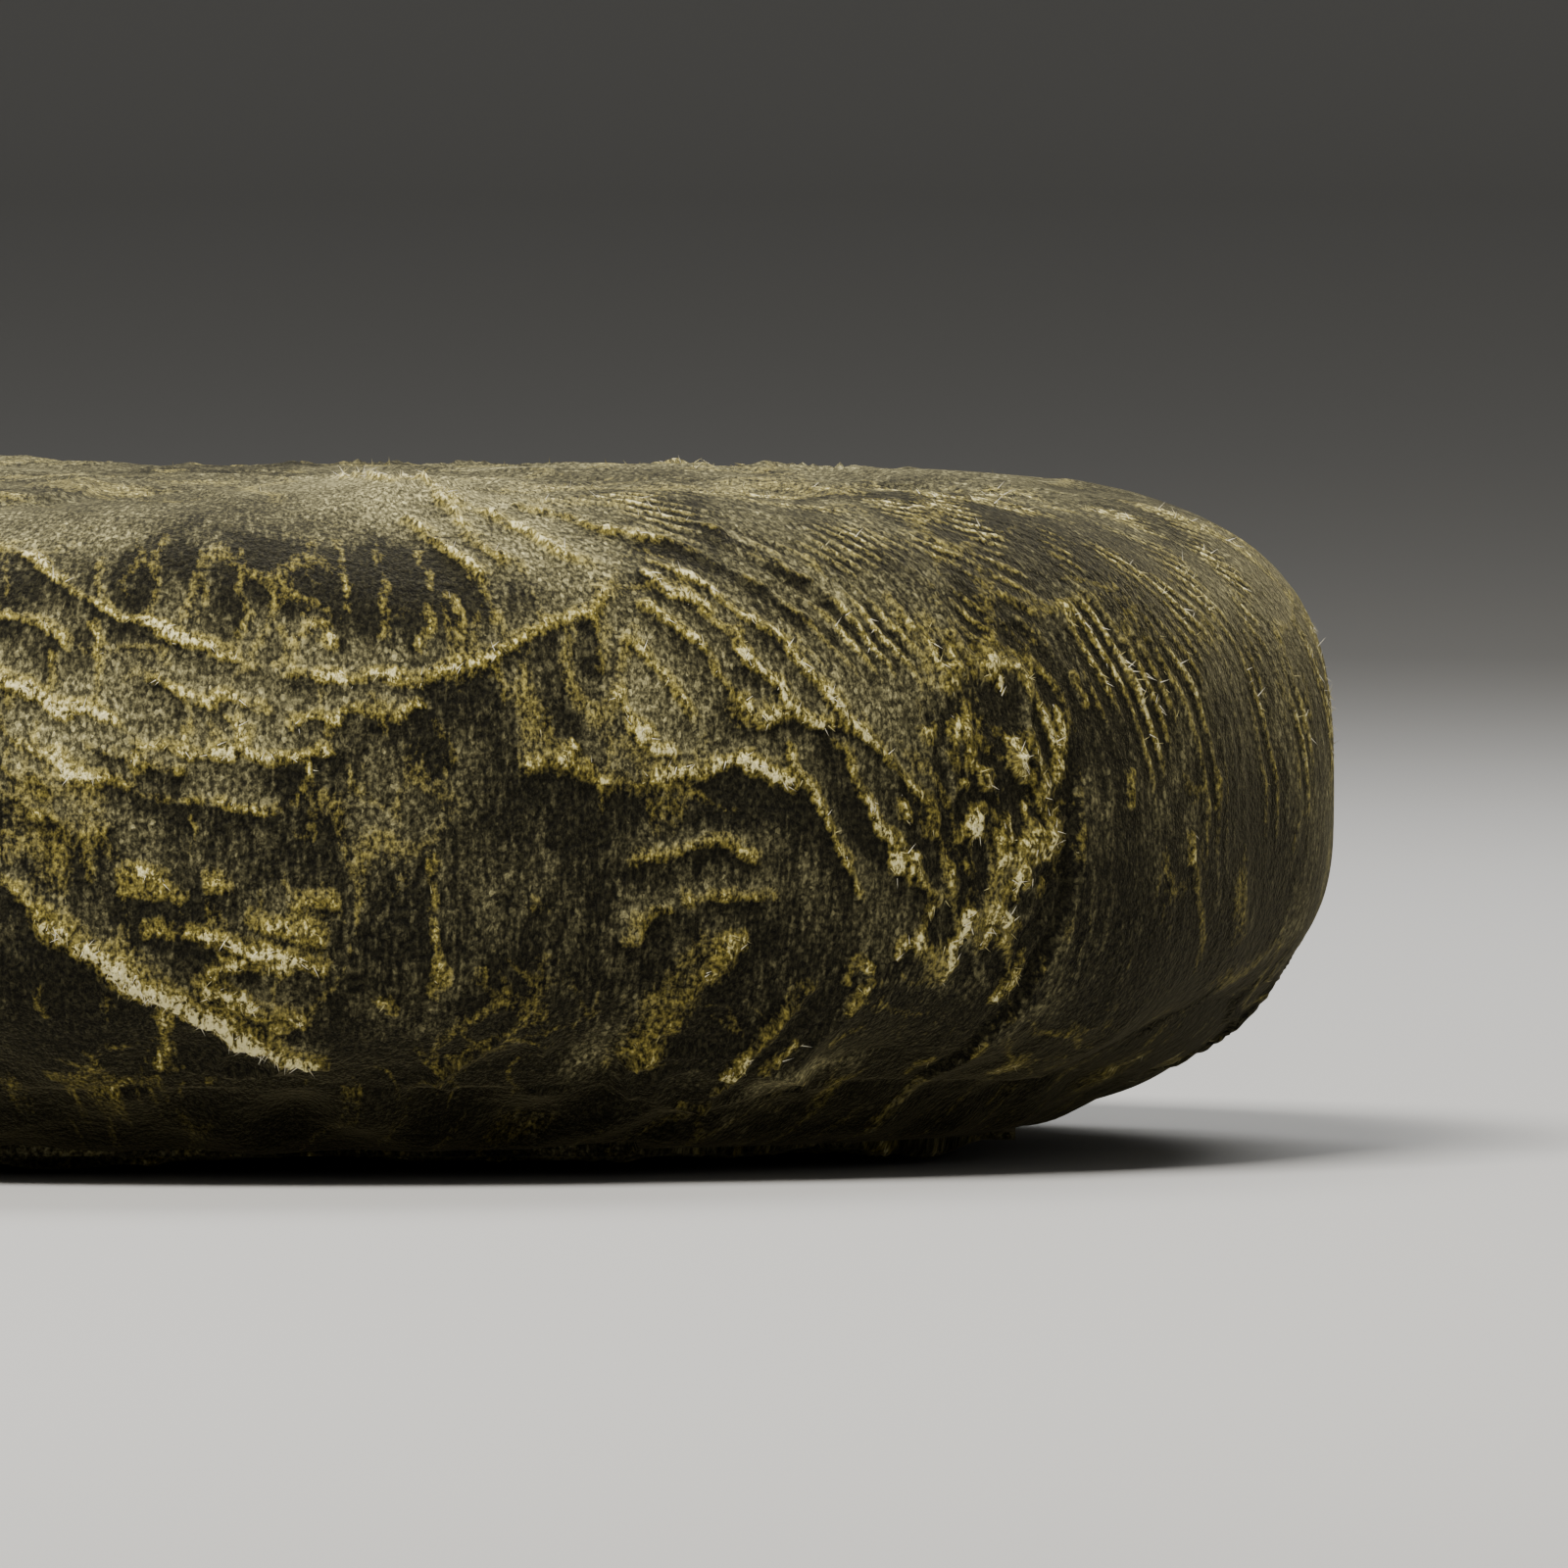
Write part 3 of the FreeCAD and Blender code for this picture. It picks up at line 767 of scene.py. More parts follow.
def crown_surface():
    """The crushed outer surface of the crown: the sides as a grid, and the top as rings."""
    columns = np.arange(COLUMNS) * (360.0 / COLUMNS) + SEAM_AZIMUTH
    paths = side_rows()
    rim_share = np.linspace(0, 1, RIM_ROWS + 1)[1:]
    rings = top_rings()
    azimuth = [np.repeat(columns[None, :], len(paths), 0).ravel()]
    path = [np.repeat(paths[:, None], COLUMNS, 1).ravel()]
    for ring_path, count in rings[1:]:
        azimuth.append(np.arange(count) * (360.0 / count) + SEAM_AZIMUTH)
        path.append(np.full(count, ring_path))
    azimuth.append(np.array([0.0]))
    path.append(np.array([0.0]))
    cloth = Cloth(np.concatenate(azimuth), np.concatenate(path))
    crush(cloth)

    # the outward direction of the plain section
    ahead = section_change(SECTION_RADIUS, cloth.path)
    drop = section_change(SECTION_HEIGHT, cloth.path)
    length = np.maximum(np.hypot(ahead, drop), 1e-9)
    radius = cloth.radius - drop / length * cloth.lift
    height = cloth.height + ahead / length * cloth.lift
    radius = np.maximum(radius, 0)
    height = np.maximum(height, LOWEST)
    spots = place(cloth.azimuth, radius, height)

    # the rim, from the last row of the side in to the opening. Its fold lines are painted lighter, a
    # painted highlight, and further in it is painted darker, a painted shade under the bundle.
    last = slice((len(paths) - 1) * COLUMNS, len(paths) * COLUMNS)
    last_radius, last_height = radius[last], height[last]
    inner = opening_radius(columns)
    end_height = FOOT_LIFT + 0.4 * (foot_height(inner) - FOOT_LIFT)
    rim, rim_opened_and_highlit, rim_nap_and_painted_light = [], [], []
    ring = place(columns, REFERENCE, 0)
    for share in rim_share:
        ripple = 0.14 * waves(ring + [0, 0, share * 6], 3.2, 61, 12) * (1 - share**2)
        reach = last_radius + (inner - last_radius) * share
        level = foot_height(reach) + (last_height - foot_height(last_radius)) * (1 - share) ** 2
        level += (end_height - foot_height(inner)) * smooth(share, 0.0, 0.8)
        rim.append(place(columns, reach, np.maximum(level + ripple, 0.1)))
        line = thin_net(ring + [0, 0, share * 3], 3.0, 62, 0.4)
        begun = smooth(share, 0.1, 0.5)
        rim_opened_and_highlit.append(cloth.opened_and_highlit[last] * (1 - share) ** 2 + 0.3 * line * begun)
        rim_nap_and_painted_light.append(cloth.nap_and_painted_light[last] * (1 - share) + 0.4 * line * begun - 1.4 * share)
    rim_path = [paths[-1] + (last_radius - inner) * share for share in rim_share]

    def with_rim(values, rim_values):
        """The side's values, then the rim's, then the top's."""
        side_count = len(paths) * COLUMNS
        return np.concatenate([values[:side_count]] + rim_values + [values[side_count:]])

    points = with_rim(spots, rim)
    opened_and_highlit, nap_and_painted_light = with_rim(cloth.opened_and_highlit, rim_opened_and_highlit), with_rim(cloth.nap_and_painted_light, rim_nap_and_painted_light)
    turn, down = with_rim(cloth.azimuth, [columns] * RIM_ROWS), with_rim(cloth.path, rim_path)
    return points, (opened_and_highlit, nap_and_painted_light, turn, down), len(paths) + RIM_ROWS, rings


def side_faces(rows):
    """Quads of the whole side, row by row, wound to face outwards."""
    row, column = np.meshgrid(np.arange(rows - 1), np.arange(COLUMNS), indexing="ij")
    after = (column + 1) % COLUMNS
    corners = [row * COLUMNS + column, (row + 1) * COLUMNS + column,
               (row + 1) * COLUMNS + after, row * COLUMNS + after]
    return np.stack([c.ravel() for c in corners], axis=1)


def top_faces(rings, first):
    """Quads and triangles of the top's rings, whose first ring is the side's first row."""
    quads, triangles = [], []
    start_outer, outer = 0, rings[0][1]
    start_inner = first
    for _, inner in rings[1:]:
        k = np.arange(inner)
        after = (k + 1) % inner
        if inner == outer:
            ring = [start_inner + k, start_outer + k, start_outer + after, start_inner + after]
            quads.append(np.stack(ring, 1))
        else:
            near, far = start_inner + k, start_inner + after
            a, b, c = (start_outer + at for at in (2 * k, 2 * k + 1, (2 * k + 2) % outer))
            for triangle in ([a, b, near], [b, far, near], [b, c, far]):
                triangles.append(np.stack(triangle, 1))
        start_outer, outer = start_inner, inner
        start_inner += inner
    k = np.arange(outer)
    middle = np.full(outer, start_inner)
    triangles.append(np.stack([start_outer + k, start_outer + (k + 1) % outer, middle], 1))
    return np.vstack(quads), np.vstack(triangles)


def lining_rows(azimuth):
    """The inside of the gathered cloth, from the top's edge down and in to the opening's rim."""
    crown_top = WRAP_HEIGHT - CLOTH_THICKNESS
    widest = WRAP_RADIUS + BULGE - CLOTH_THICKNESS
    foot = 26.6            # where the lining turns in under the cake
    section = [(TOP_RADIUS, crown_top), (26.0, crown_top - 0.2), (28.4, crown_top - 1.2),
               (29.6, crown_top - 3.2), (widest, 12.0), (widest, 9.0), (29.4, 6.8), (28.4, 4.9),
               (foot, 3.15)]
    rows = [place(azimuth, radius, height) for radius, height in section]
    lip = opening_radius(azimuth) + 0.15
    for share in (0.35, 0.7, 1.0):
        level = UNDER_THICKNESS - 0.05 + 1.4 * (1 - share) ** 3
        rows.append(place(azimuth, foot + (lip - foot) * share, level))
    rows.append(place(azimuth, opening_radius(azimuth) - 0.05, UNDER_THICKNESS * 0.6))
    return rows


def side_piece(name, quarter, points, normals, fields, rows):
    """One quarter of the side as a closed shell: the pile outside and the backing inside."""
    first = quarter * COLUMNS_PER_QUARTER
    columns = (first + np.arange(COLUMNS_PER_QUARTER + 1)) % COLUMNS
    wide = len(columns)
    index = (np.arange(rows)[:, None] * COLUMNS + columns[None, :]).ravel()
    outer = points[index]
    azimuth = SEAM_AZIMUTH + (first + np.arange(wide)) * (360.0 / COLUMNS)
    lining = lining_rows(azimuth)
    everything = np.vstack([outer] + lining)
    base = rows * wide
    outside = grid_quads(rows, wide)
    inside = grid_quads(len(lining), wide, base)[:, [0, 3, 2, 1]]
    k = np.arange(wide - 1)
    top_strip = np.stack([k, k + 1, base + k + 1, base + k], 1)
    low_outer, low_inner = (rows - 1) * wide, base + (len(lining) - 1) * wide
    low_strip = np.stack([low_outer + k, low_inner + k, low_inner + k + 1, low_outer + k + 1], 1)
    faces = np.vstack([outside, inside, top_strip, low_strip]).tolist()
    # the two cut ends, each one face: down the outside and back up the lining
    left = [r * wide for r in range(rows)]
    left += [base + r * wide for r in range(len(lining))][::-1]
    right = [spot + wide - 1 for spot in left]
    faces.append(left[::-1])
    faces.append(right)
    mesh = new_mesh(name, everything, faces)
    middle = SEAM_AZIMUTH + (quarter + 0.5) * 90.0
    across = np.radians(turn_between(fields[2][index], middle)) * REFERENCE
    weave = np.column_stack([across, fields[3][index]])
    return finish_cloth(name, mesh, index, weave, len(outside), normals, fields)


def finish_cloth(name, mesh, index, weave, outside_count, normals, fields):
    """Fields, weave map, materials and matched normals of a piece of the crown."""
    shade_smooth(mesh)
    opened_and_highlit, nap_and_painted_light = fields[:2]
    spare = len(mesh.vertices) - len(index)
    point_field(mesh, "opened_and_highlit", np.concatenate([opened_and_highlit[index], np.zeros(spare)]))
    point_field(mesh, "nap_and_painted_light", np.concatenate([nap_and_painted_light[index], np.zeros(spare)]))
    weave = np.vstack([weave, np.zeros((spare, 2))]) * MM
    cloth_map(mesh, weave[:, 0], weave[:, 1])
    piece = add_object(name, mesh, VELVET, BACKING)
    slots = np.ones(len(mesh.polygons), np.int32)
    slots[:outside_count] = 0
    mesh.polygons.foreach_set("material_index", slots)
    given = np.zeros((len(mesh.vertices), 3))
    given[:len(index)] = normals[index]
    mesh.normals_split_custom_set_from_vertices(given.tolist())
    return piece


def top_piece(name, points, normals, fields, rings, side_count):
    """The top as a closed shell over the cake."""
    quads, triangles = top_faces(rings, side_count)
    ring_points = np.arange(side_count, len(points))
    index = np.concatenate([np.arange(COLUMNS), ring_points])
    swap = np.full(len(points), -1)
    swap[index] = np.arange(len(index))
    outer = points[index]
    azimuth = SEAM_AZIMUTH + np.arange(COLUMNS) * (360.0 / COLUMNS)
    level = CAKE_TOP + 0.45
    lining = [place(azimuth, TOP_RADIUS, level),
              place(azimuth[::LINING_STEP], TOP_RADIUS * 0.6, level)]
    everything = np.vstack([outer] + lining)
    faces = swap[quads].tolist() + swap[triangles].tolist()
    outside_count = len(faces)
    base = len(outer)
    k = np.arange(COLUMNS)
    after = (k + 1) % COLUMNS
    faces.extend(np.stack([k, base + k, base + after, after], 1)[:, ::-1].tolist())
    middle = base + COLUMNS
    ring = COLUMNS // LINING_STEP
    for step in range(ring):
        outer_arc = [base + (LINING_STEP * step + i) % COLUMNS for i in range(LINING_STEP + 1)]
        faces.append([middle + step] + outer_arc + [middle + (step + 1) % ring])
    faces.append([middle + step for step in range(ring)])
    mesh = new_mesh(name, everything, faces)
    return finish_cloth(name, mesh, index, outer[:, :2], outside_count, normals, fields)


# ---------------------------------------------------------------- materials
class Tree:
    """A tree of nodes, added by short calls."""

    def __init__(self, tree):
        self.tree = tree

    def node(self, kind, inputs=None, **settings):
        """A new node with its settings, and its inputs joined or set."""
        made = self.tree.nodes.new(kind)
        for key, value in settings.items():
            setattr(made, key, value)
        for key, value in (inputs or {}).items():
            self.put(made.inputs[key], value)
        return made

    def put(self, socket, value):
        """Join a socket to another, or give it a value."""
        if isinstance(value, bpy.types.NodeSocket):
            self.tree.links.new(value, socket)
        else:
            socket.default_value = value


class Recipe(Tree):
    """A material's nodes."""

    def __init__(self, name):
        self.material = bpy.data.materials.new(name)
        self.material.use_nodes = True
        super().__init__(self.material.node_tree)
        self.shader = self.tree.nodes["Principled BSDF"]

    def surface(self, inputs):
        """Set or join what the surface is like."""
        for name, value in inputs.items():
            self.put(self.shader.inputs[name], value)

    def spot(self):
        """Where a point is on its piece."""
        return self.node("ShaderNodeTexCoord").outputs["Object"]

    def noise(self, vector, scale, detail=2.0, roughness=0.5):
        """Cloudy noise whose grains are about one over scale metres wide."""
        inputs = {"Vector": vector, "Scale": scale, "Detail": detail, "Roughness": roughness}
        return self.node("ShaderNodeTexNoise", inputs)

    def off_middle(self, value, amount):
        """How far a value is from its middle, times an amount."""
        return self.math("MULTIPLY", self.math("SUBTRACT", value, 0.5), amount)

    def math(self, operation, first, second=0.0, clamp=False):
        made = self.node("ShaderNodeMath", operation=operation, use_clamp=clamp)
        self.put(made.inputs[0], first)
        self.put(made.inputs[1], second)
        return made.outputs[0]

    def field(self, name):
        return self.node("ShaderNodeAttribute", attribute_name=name).outputs["Fac"]

    def blend(self, share, first, second, kind="MIX"):
        made = self.node("ShaderNodeMix", data_type="RGBA", blend_type=kind)
        self.put(made.inputs["Factor"], share)
        self.put(made.inputs["A"], first)
        self.put(made.inputs["B"], second)
        return made.outputs["Result"]

    def scaled(self, colour, amount):
        made = self.node("ShaderNodeVectorMath", operation="SCALE")
        self.put(made.inputs[0], colour[:3] if isinstance(colour, tuple) else colour)
        self.put(made.inputs["Scale"], amount)
        return made.outputs["Vector"]

    def between(self, value, low, high, to_low=0.0, to_high=1.0):
        made = self.node("ShaderNodeMapRange", {"Value": value, "From Min": low, "From Max": high,
                                                "To Min": to_low, "To Max": to_high})
        return made.outputs["Result"]


PILE_DEEP = (0.014, 0.0127, 0.0060, 1)
PILE_LIGHT = (0.262, 0.236, 0.116, 1)
GOLD_HIGHLIGHT = (0.37, 0.30, 0.058, 1)
STRAW_HIGHLIGHT = (0.95, 0.86, 0.44, 1)


def crushed_velvet():
    """Short pile: near black where one looks down into it and pale where it lies over, by a field that
    also holds painted light and shade. Gold beside a crease and straw where the crease parts it are
    painted highlights."""
    r = Recipe("crushed_velvet")
    spot = r.spot()
    weave = r.node("ShaderNodeUVMap", uv_map="cloth").outputs["UV"]
    opened_and_highlit, nap_and_painted_light = r.field("opened_and_highlit"), r.field("nap_and_painted_light")

    drawn_out = r.node("ShaderNodeMapping", {"Vector": weave, "Scale": (1.0, 0.7, 1.0)}).outputs[0]
    long_way = r.node("ShaderNodeMapping", {"Vector": weave, "Scale": (1.0, 0.2, 1.0)}).outputs[0]
    tips = r.noise(drawn_out, 6800.0, 2.0, 0.7)
    grain = r.node("ShaderNodeTexVoronoi", {"Vector": drawn_out, "Scale": 9000.0})
    glint = r.node("ShaderNodeSeparateColor", {"Color": grain.outputs["Color"]}).outputs["Red"]
    strokes = r.noise(long_way, 4600.0, 2.0, 0.6)
    mottle = r.noise(spot, 1300.0, 3.0, 0.65)
    cloud = r.noise(spot, 260.0, 3.0, 0.55)
    tip = r.between(tips.outputs["Fac"], 0.33, 0.67)
    stroke = r.between(strokes.outputs["Fac"], 0.33, 0.67)

    brushed_and_lit = r.math("ADD", r.math("MULTIPLY", nap_and_painted_light, 0.26), r.off_middle(cloud.outputs["Fac"], 0.5))
    brushed_and_lit = r.math("ADD", brushed_and_lit, r.off_middle(mottle.outputs["Fac"], 0.5))
    brushed_and_lit = r.math("ADD", brushed_and_lit, r.math("MULTIPLY", stroke, 0.30))
    brushed_and_lit = r.math("ADD", brushed_and_lit, 0.05, clamp=True)
    depth = r.math("ADD", r.math("MULTIPLY", r.math("MULTIPLY", tip, tip), 2.1), 0.2)
    # a few bright points over the pile, painted glints of the fibre tips
    spark = r.math("MULTIPLY", r.math("POWER", r.between(glint, 0.6, 1.0), 4.0), 2.0)
    depth = r.math("ADD", depth, spark)
    pile = r.scaled(r.blend(brushed_and_lit, PILE_DEEP, PILE_LIGHT), depth)

    highlight_share = r.math("MULTIPLY", opened_and_highlit, r.between(tip, 0.0, 1.0, 0.45, 1.5))
    highlight_share = r.math("MULTIPLY", highlight_share, r.between(stroke, 0.0, 1.0, 0.66, 1.3))
    gold_highlight = r.scaled(GOLD_HIGHLIGHT, r.between(tip, 0.0, 1.0, 0.25, 1.5))
    colour = r.blend(r.between(highlight_share, 0.16, 0.80, 0.0, 0.85), pile, gold_highlight)
    colour = r.blend(r.between(highlight_share, 0.66, 1.12), colour, STRAW_HIGHLIGHT)

    fur = r.math("ADD", tips.outputs["Fac"], r.math("MULTIPLY", glint, 0.4))
    bump = r.node("ShaderNodeBump", {"Height": fur, "Strength": 0.9, "Distance": 0.00010})
    soft = r.node("ShaderNodeBump", {"Height": mottle.outputs["Fac"], "Strength": 0.5,
                                     "Distance": 0.00030, "Normal": bump.outputs["Normal"]})
    r.surface({
        "Base Color": colour,
        "Roughness": r.between(highlight_share, 0.1, 0.9, 0.9, 0.5),
        "Specular IOR Level": 0.15,
        "Sheen Weight": 0.22,
        "Sheen Roughness": 0.35,
        "Sheen Tint": (0.80, 0.70, 0.36, 1),
        "Normal": soft.outputs["Normal"],
    })
    return r.material


def velvet_backing():
    """The woven back of the cloth, seen where a corner is folded out."""
    r = Recipe("velvet_backing")
    spot = r.spot()
    wave = {"Vector": spot, "Scale": 620.0, "Distortion": 1.2, "Detail": 1.0}
    warp = r.node("ShaderNodeTexWave", wave, wave_type="BANDS", bands_direction="X")
    weft = r.node("ShaderNodeTexWave", wave, wave_type="BANDS", bands_direction="Y")
    threads = r.math("MAXIMUM", warp.outputs["Fac"], weft.outputs["Fac"])
    cloud = r.noise(spot, 240.0, 4.0)
    tone = r.math("ADD", r.math("MULTIPLY", threads, 0.6),
                  r.math("MULTIPLY", cloud.outputs["Fac"], 0.5), clamp=True)
    bump = r.node("ShaderNodeBump", {"Height": threads, "Strength": 0.6, "Distance": 0.00008})
    r.surface({
        "Base Color": r.blend(tone, (0.055, 0.046, 0.022, 1), (0.19, 0.165, 0.09, 1)),
        "Roughness": 0.9,
        "Normal": bump.outputs["Normal"],
    })
    return r.material


def amber_rosin():
    """Dark amber glass, clouded in its depth, with fine cracks and specks of its own dust."""
    r = Recipe("amber_rosin")
    spot = r.spot()
    cloud = r.noise(spot, 110.0, 6.0, 0.62)
    depth = r.between(cloud.outputs["Fac"], 0.3, 0.7)
    amber = r.blend(depth, (0.060, 0.014, 0.002, 1), (0.36, 0.115, 0.012, 1))
    bent = r.node("ShaderNodeVectorMath", {"Vector": spot}, operation="ADD")
    drift = r.noise(spot, 300.0, 3.0)
    r.put(bent.inputs[1], r.scaled(drift.outputs["Color"], 0.004))
    cells = r.node("ShaderNodeTexVoronoi", {"Vector": bent.outputs["Vector"], "Scale": 95.0},
                   feature="DISTANCE_TO_EDGE")
    crack = r.math("MULTIPLY", r.between(cells.outputs["Distance"], 0.0, 0.025, 1.0, 0.0),
                   r.between(cloud.outputs["Fac"], 0.45, 0.6))
    speck = r.noise(spot, 2600.0, 3.0, 0.7)
    bloom = r.noise(spot, 190.0, 4.0, 0.6)
    dust = r.math("MULTIPLY", r.between(speck.outputs["Fac"], 0.52, 0.72),
                  r.between(bloom.outputs["Fac"], 0.4, 0.7))
    pale = r.math("MAXIMUM", r.math("MULTIPLY", crack, 0.7), r.math("MULTIPLY", dust, 0.6))
    rough = r.between(r.math("ADD", pale, bloom.outputs["Fac"]), 0.3, 1.0, 0.14, 0.5)
    bump = r.node("ShaderNodeBump", {"Height": r.math("SUBTRACT", bloom.outputs["Fac"], crack),
                                     "Strength": 0.3, "Distance": 0.0002})
    r.surface({
        "Base Color": r.blend(pale, amber, (0.70, 0.50, 0.26, 1)),
        "Roughness": rough,
        "Coat Weight": 0.35,
        "Coat Roughness": 0.1,
        "Normal": bump.outputs["Normal"],
    })
    return r.material


def dried_glue():
    """Old glue, blotched pale and brown."""
    r = Recipe("dried_glue")
    blot = r.noise(r.spot(), 260.0, 4.0)
    r.surface({
        "Base Color": r.blend(blot.outputs["Fac"], (0.42, 0.33, 0.18, 1), (0.66, 0.56, 0.36, 1)),
        "Roughness": r.between(blot.outputs["Fac"], 0.3, 0.7, 0.35, 0.7),
    })
    return r.material


def loose_fibre(name, colour, roughness):
    """Pile fibres that stand clear at a crease."""
    r = Recipe(name)
    vary = r.noise(r.spot(), 3000.0)
    r.surface({
        "Base Color": colour,
        "Roughness": r.between(vary.outputs["Fac"], 0.3, 0.7, roughness - 0.15, roughness + 0.15),
        "Sheen Weight": 0.4,
        "Sheen Roughness": 0.4,
    })
    return r.material


VELVET = crushed_velvet()
BACKING = velvet_backing()


# ---------------------------------------------------------------- loose pile
def tuft_tree(name, material, seed):
    """Geometry Nodes: thin spikes of pile over a surface, thickest where a crease parts the pile."""
    tree = bpy.data.node_groups.new(name, "GeometryNodeTree")
    face = tree.interface
    face.new_socket(name="Geometry", in_out="OUTPUT", socket_type="NodeSocketGeometry")
    face.new_socket(name="Geometry", in_out="INPUT", socket_type="NodeSocketGeometry")
    sockets = {}
    for label, value in (("Tufts per square metre", 1e7), ("Length", 0.0006), ("Thickness", 0.00003),
                         ("Lean", 0.9), ("Least wear", 0.35)):
        socket = face.new_socket(name=label, in_out="INPUT", socket_type="NodeSocketFloat")
        socket.default_value = value
        sockets[label] = socket.identifier
    t = Tree(tree)
    given = t.node("NodeGroupInput").outputs
    result = t.node("NodeGroupOutput")
    wear = t.node("GeometryNodeInputNamedAttribute", {"Name": "opened_and_highlit"}, data_type="FLOAT")
    span = t.node("ShaderNodeMapRange", {"Value": wear.outputs["Attribute"],
                                         "From Min": given["Least wear"]})
    thick = t.node("ShaderNodeMath", {0: span.outputs["Result"], 1: given["Tufts per square metre"]},
                   operation="MULTIPLY")
    scatter = t.node("GeometryNodeDistributePointsOnFaces",
                     {"Mesh": given["Geometry"], "Density": thick.outputs[0], "Seed": seed})
    spike = t.node("GeometryNodeMeshCone", {"Vertices": 3, "Radius Top": 0.0,
                                            "Radius Bottom": given["Thickness"],
                                            "Depth": given["Length"]})
    lean = t.node("FunctionNodeRandomValue", {"Seed": seed + 1}, data_type="FLOAT_VECTOR")
    back = t.node("ShaderNodeMath", {0: given["Lean"], 1: -1.0}, operation="MULTIPLY")
    for side, source in (("Min", back.outputs[0]), ("Max", given["Lean"])):
        join = t.node("ShaderNodeCombineXYZ", {"X": source, "Y": source})
        t.put(lean.inputs[side], join.outputs[0])
    to_turn = t.node("FunctionNodeEulerToRotation", {0: lean.outputs["Value"]})
    tip = t.node("FunctionNodeRotateRotation", {"Rotation": scatter.outputs["Rotation"],
                                                "Rotate By": to_turn.outputs[0]},
                 rotation_space="LOCAL")
    size = t.node("FunctionNodeRandomValue", {"Min": 0.45, "Max": 1.25, "Seed": seed + 2},
                  data_type="FLOAT")
    stand = t.node("GeometryNodeInstanceOnPoints",
                   {"Points": scatter.outputs["Points"], "Instance": spike.outputs["Mesh"],
                    "Rotation": tip.outputs[0], "Scale": size.outputs[1]})
    real = t.node("GeometryNodeRealizeInstances", {"Geometry": stand.outputs["Instances"]})
    paint = t.node("GeometryNodeSetMaterial", {"Geometry": real.outputs["Geometry"],
                                               "Material": material})
    t.put(result.inputs["Geometry"], paint.outputs["Geometry"])
    return tree, sockets


def tufts(name, surface, body, material, seed, **sizes):
    """A piece of loose pile over another piece."""
    tree, sockets = tuft_tree(name, material, seed)
    holder = bpy.data.objects.new(name + "_holder", surface.data)
    bpy.context.scene.collection.objects.link(holder)
    modifier = holder.modifiers.new("tufts", "NODES")
    modifier.node_group = tree
    for label, value in sizes.items():
        modifier[sockets[label.replace("_", " ")]] = value
    bpy.context.view_layer.update()
    evaluated = holder.evaluated_get(bpy.context.evaluated_depsgraph_get())
    mesh = bpy.data.meshes.new_from_object(evaluated)
    bpy.data.objects.remove(holder)
    mesh.name = name
    piece = bpy.data.objects.new(name, mesh)
    bpy.context.scene.collection.objects.link(piece)
    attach(piece, body)


# ---------------------------------------------------------------- the pieces
def make_crown():
    """The crown of the wrap: its four sides and its top."""
    points, fields, rows, rings = crown_surface()
    quads = side_faces(rows)
    side_count = rows * COLUMNS
    top_quads, top_triangles = top_faces(rings, side_count)
    normals = vertex_normals(points, (quads, top_quads, top_triangles))
    pieces = []
    for quarter, side in enumerate(("right", "back", "left", "front")):
        pieces.append(side_piece("velvet_side_" + side, quarter, points, normals, fields, rows))
    pieces.append(top_piece("velvet_top", points, normals, fields, rings, side_count))
    for piece in pieces:
        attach(piece, "bundle")
        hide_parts("velvet_crown")
    return pieces


def corner_field(spots, seed):
    """The crush of a folded corner: how far each point stands out, how far its pile parts, which is
    painted as a highlight, and the lie of its pile.
    """
    warped = spots + 0.5 * waves(spots, 5.0, seed)[:, None]
    broad, narrow = thin_net(warped, 7.5, seed + 1, 0.6), thin_net(warped, 3.6, seed + 2, 0.45)
    fine = thin_net(warped, 1.8, seed + 3, 0.3)
    out = 0.16 * waves(spots, 6.0, seed + 4) + 0.14 * broad + 0.08 * narrow
    some = np.clip(0.6 + 0.5 * waves(spots, 3.0, seed + 7), 0, 1.1)
    opened_and_highlit = np.maximum(broad * some, np.maximum(0.65 * narrow * some, 0.3 * fine))
    nap_and_painted_light = 0.6 * waves(spots, 6.0, seed + 5) + 0.5 * waves(spots, 2.4, seed + 6)
    return out, opened_and_highlit, nap_and_painted_light


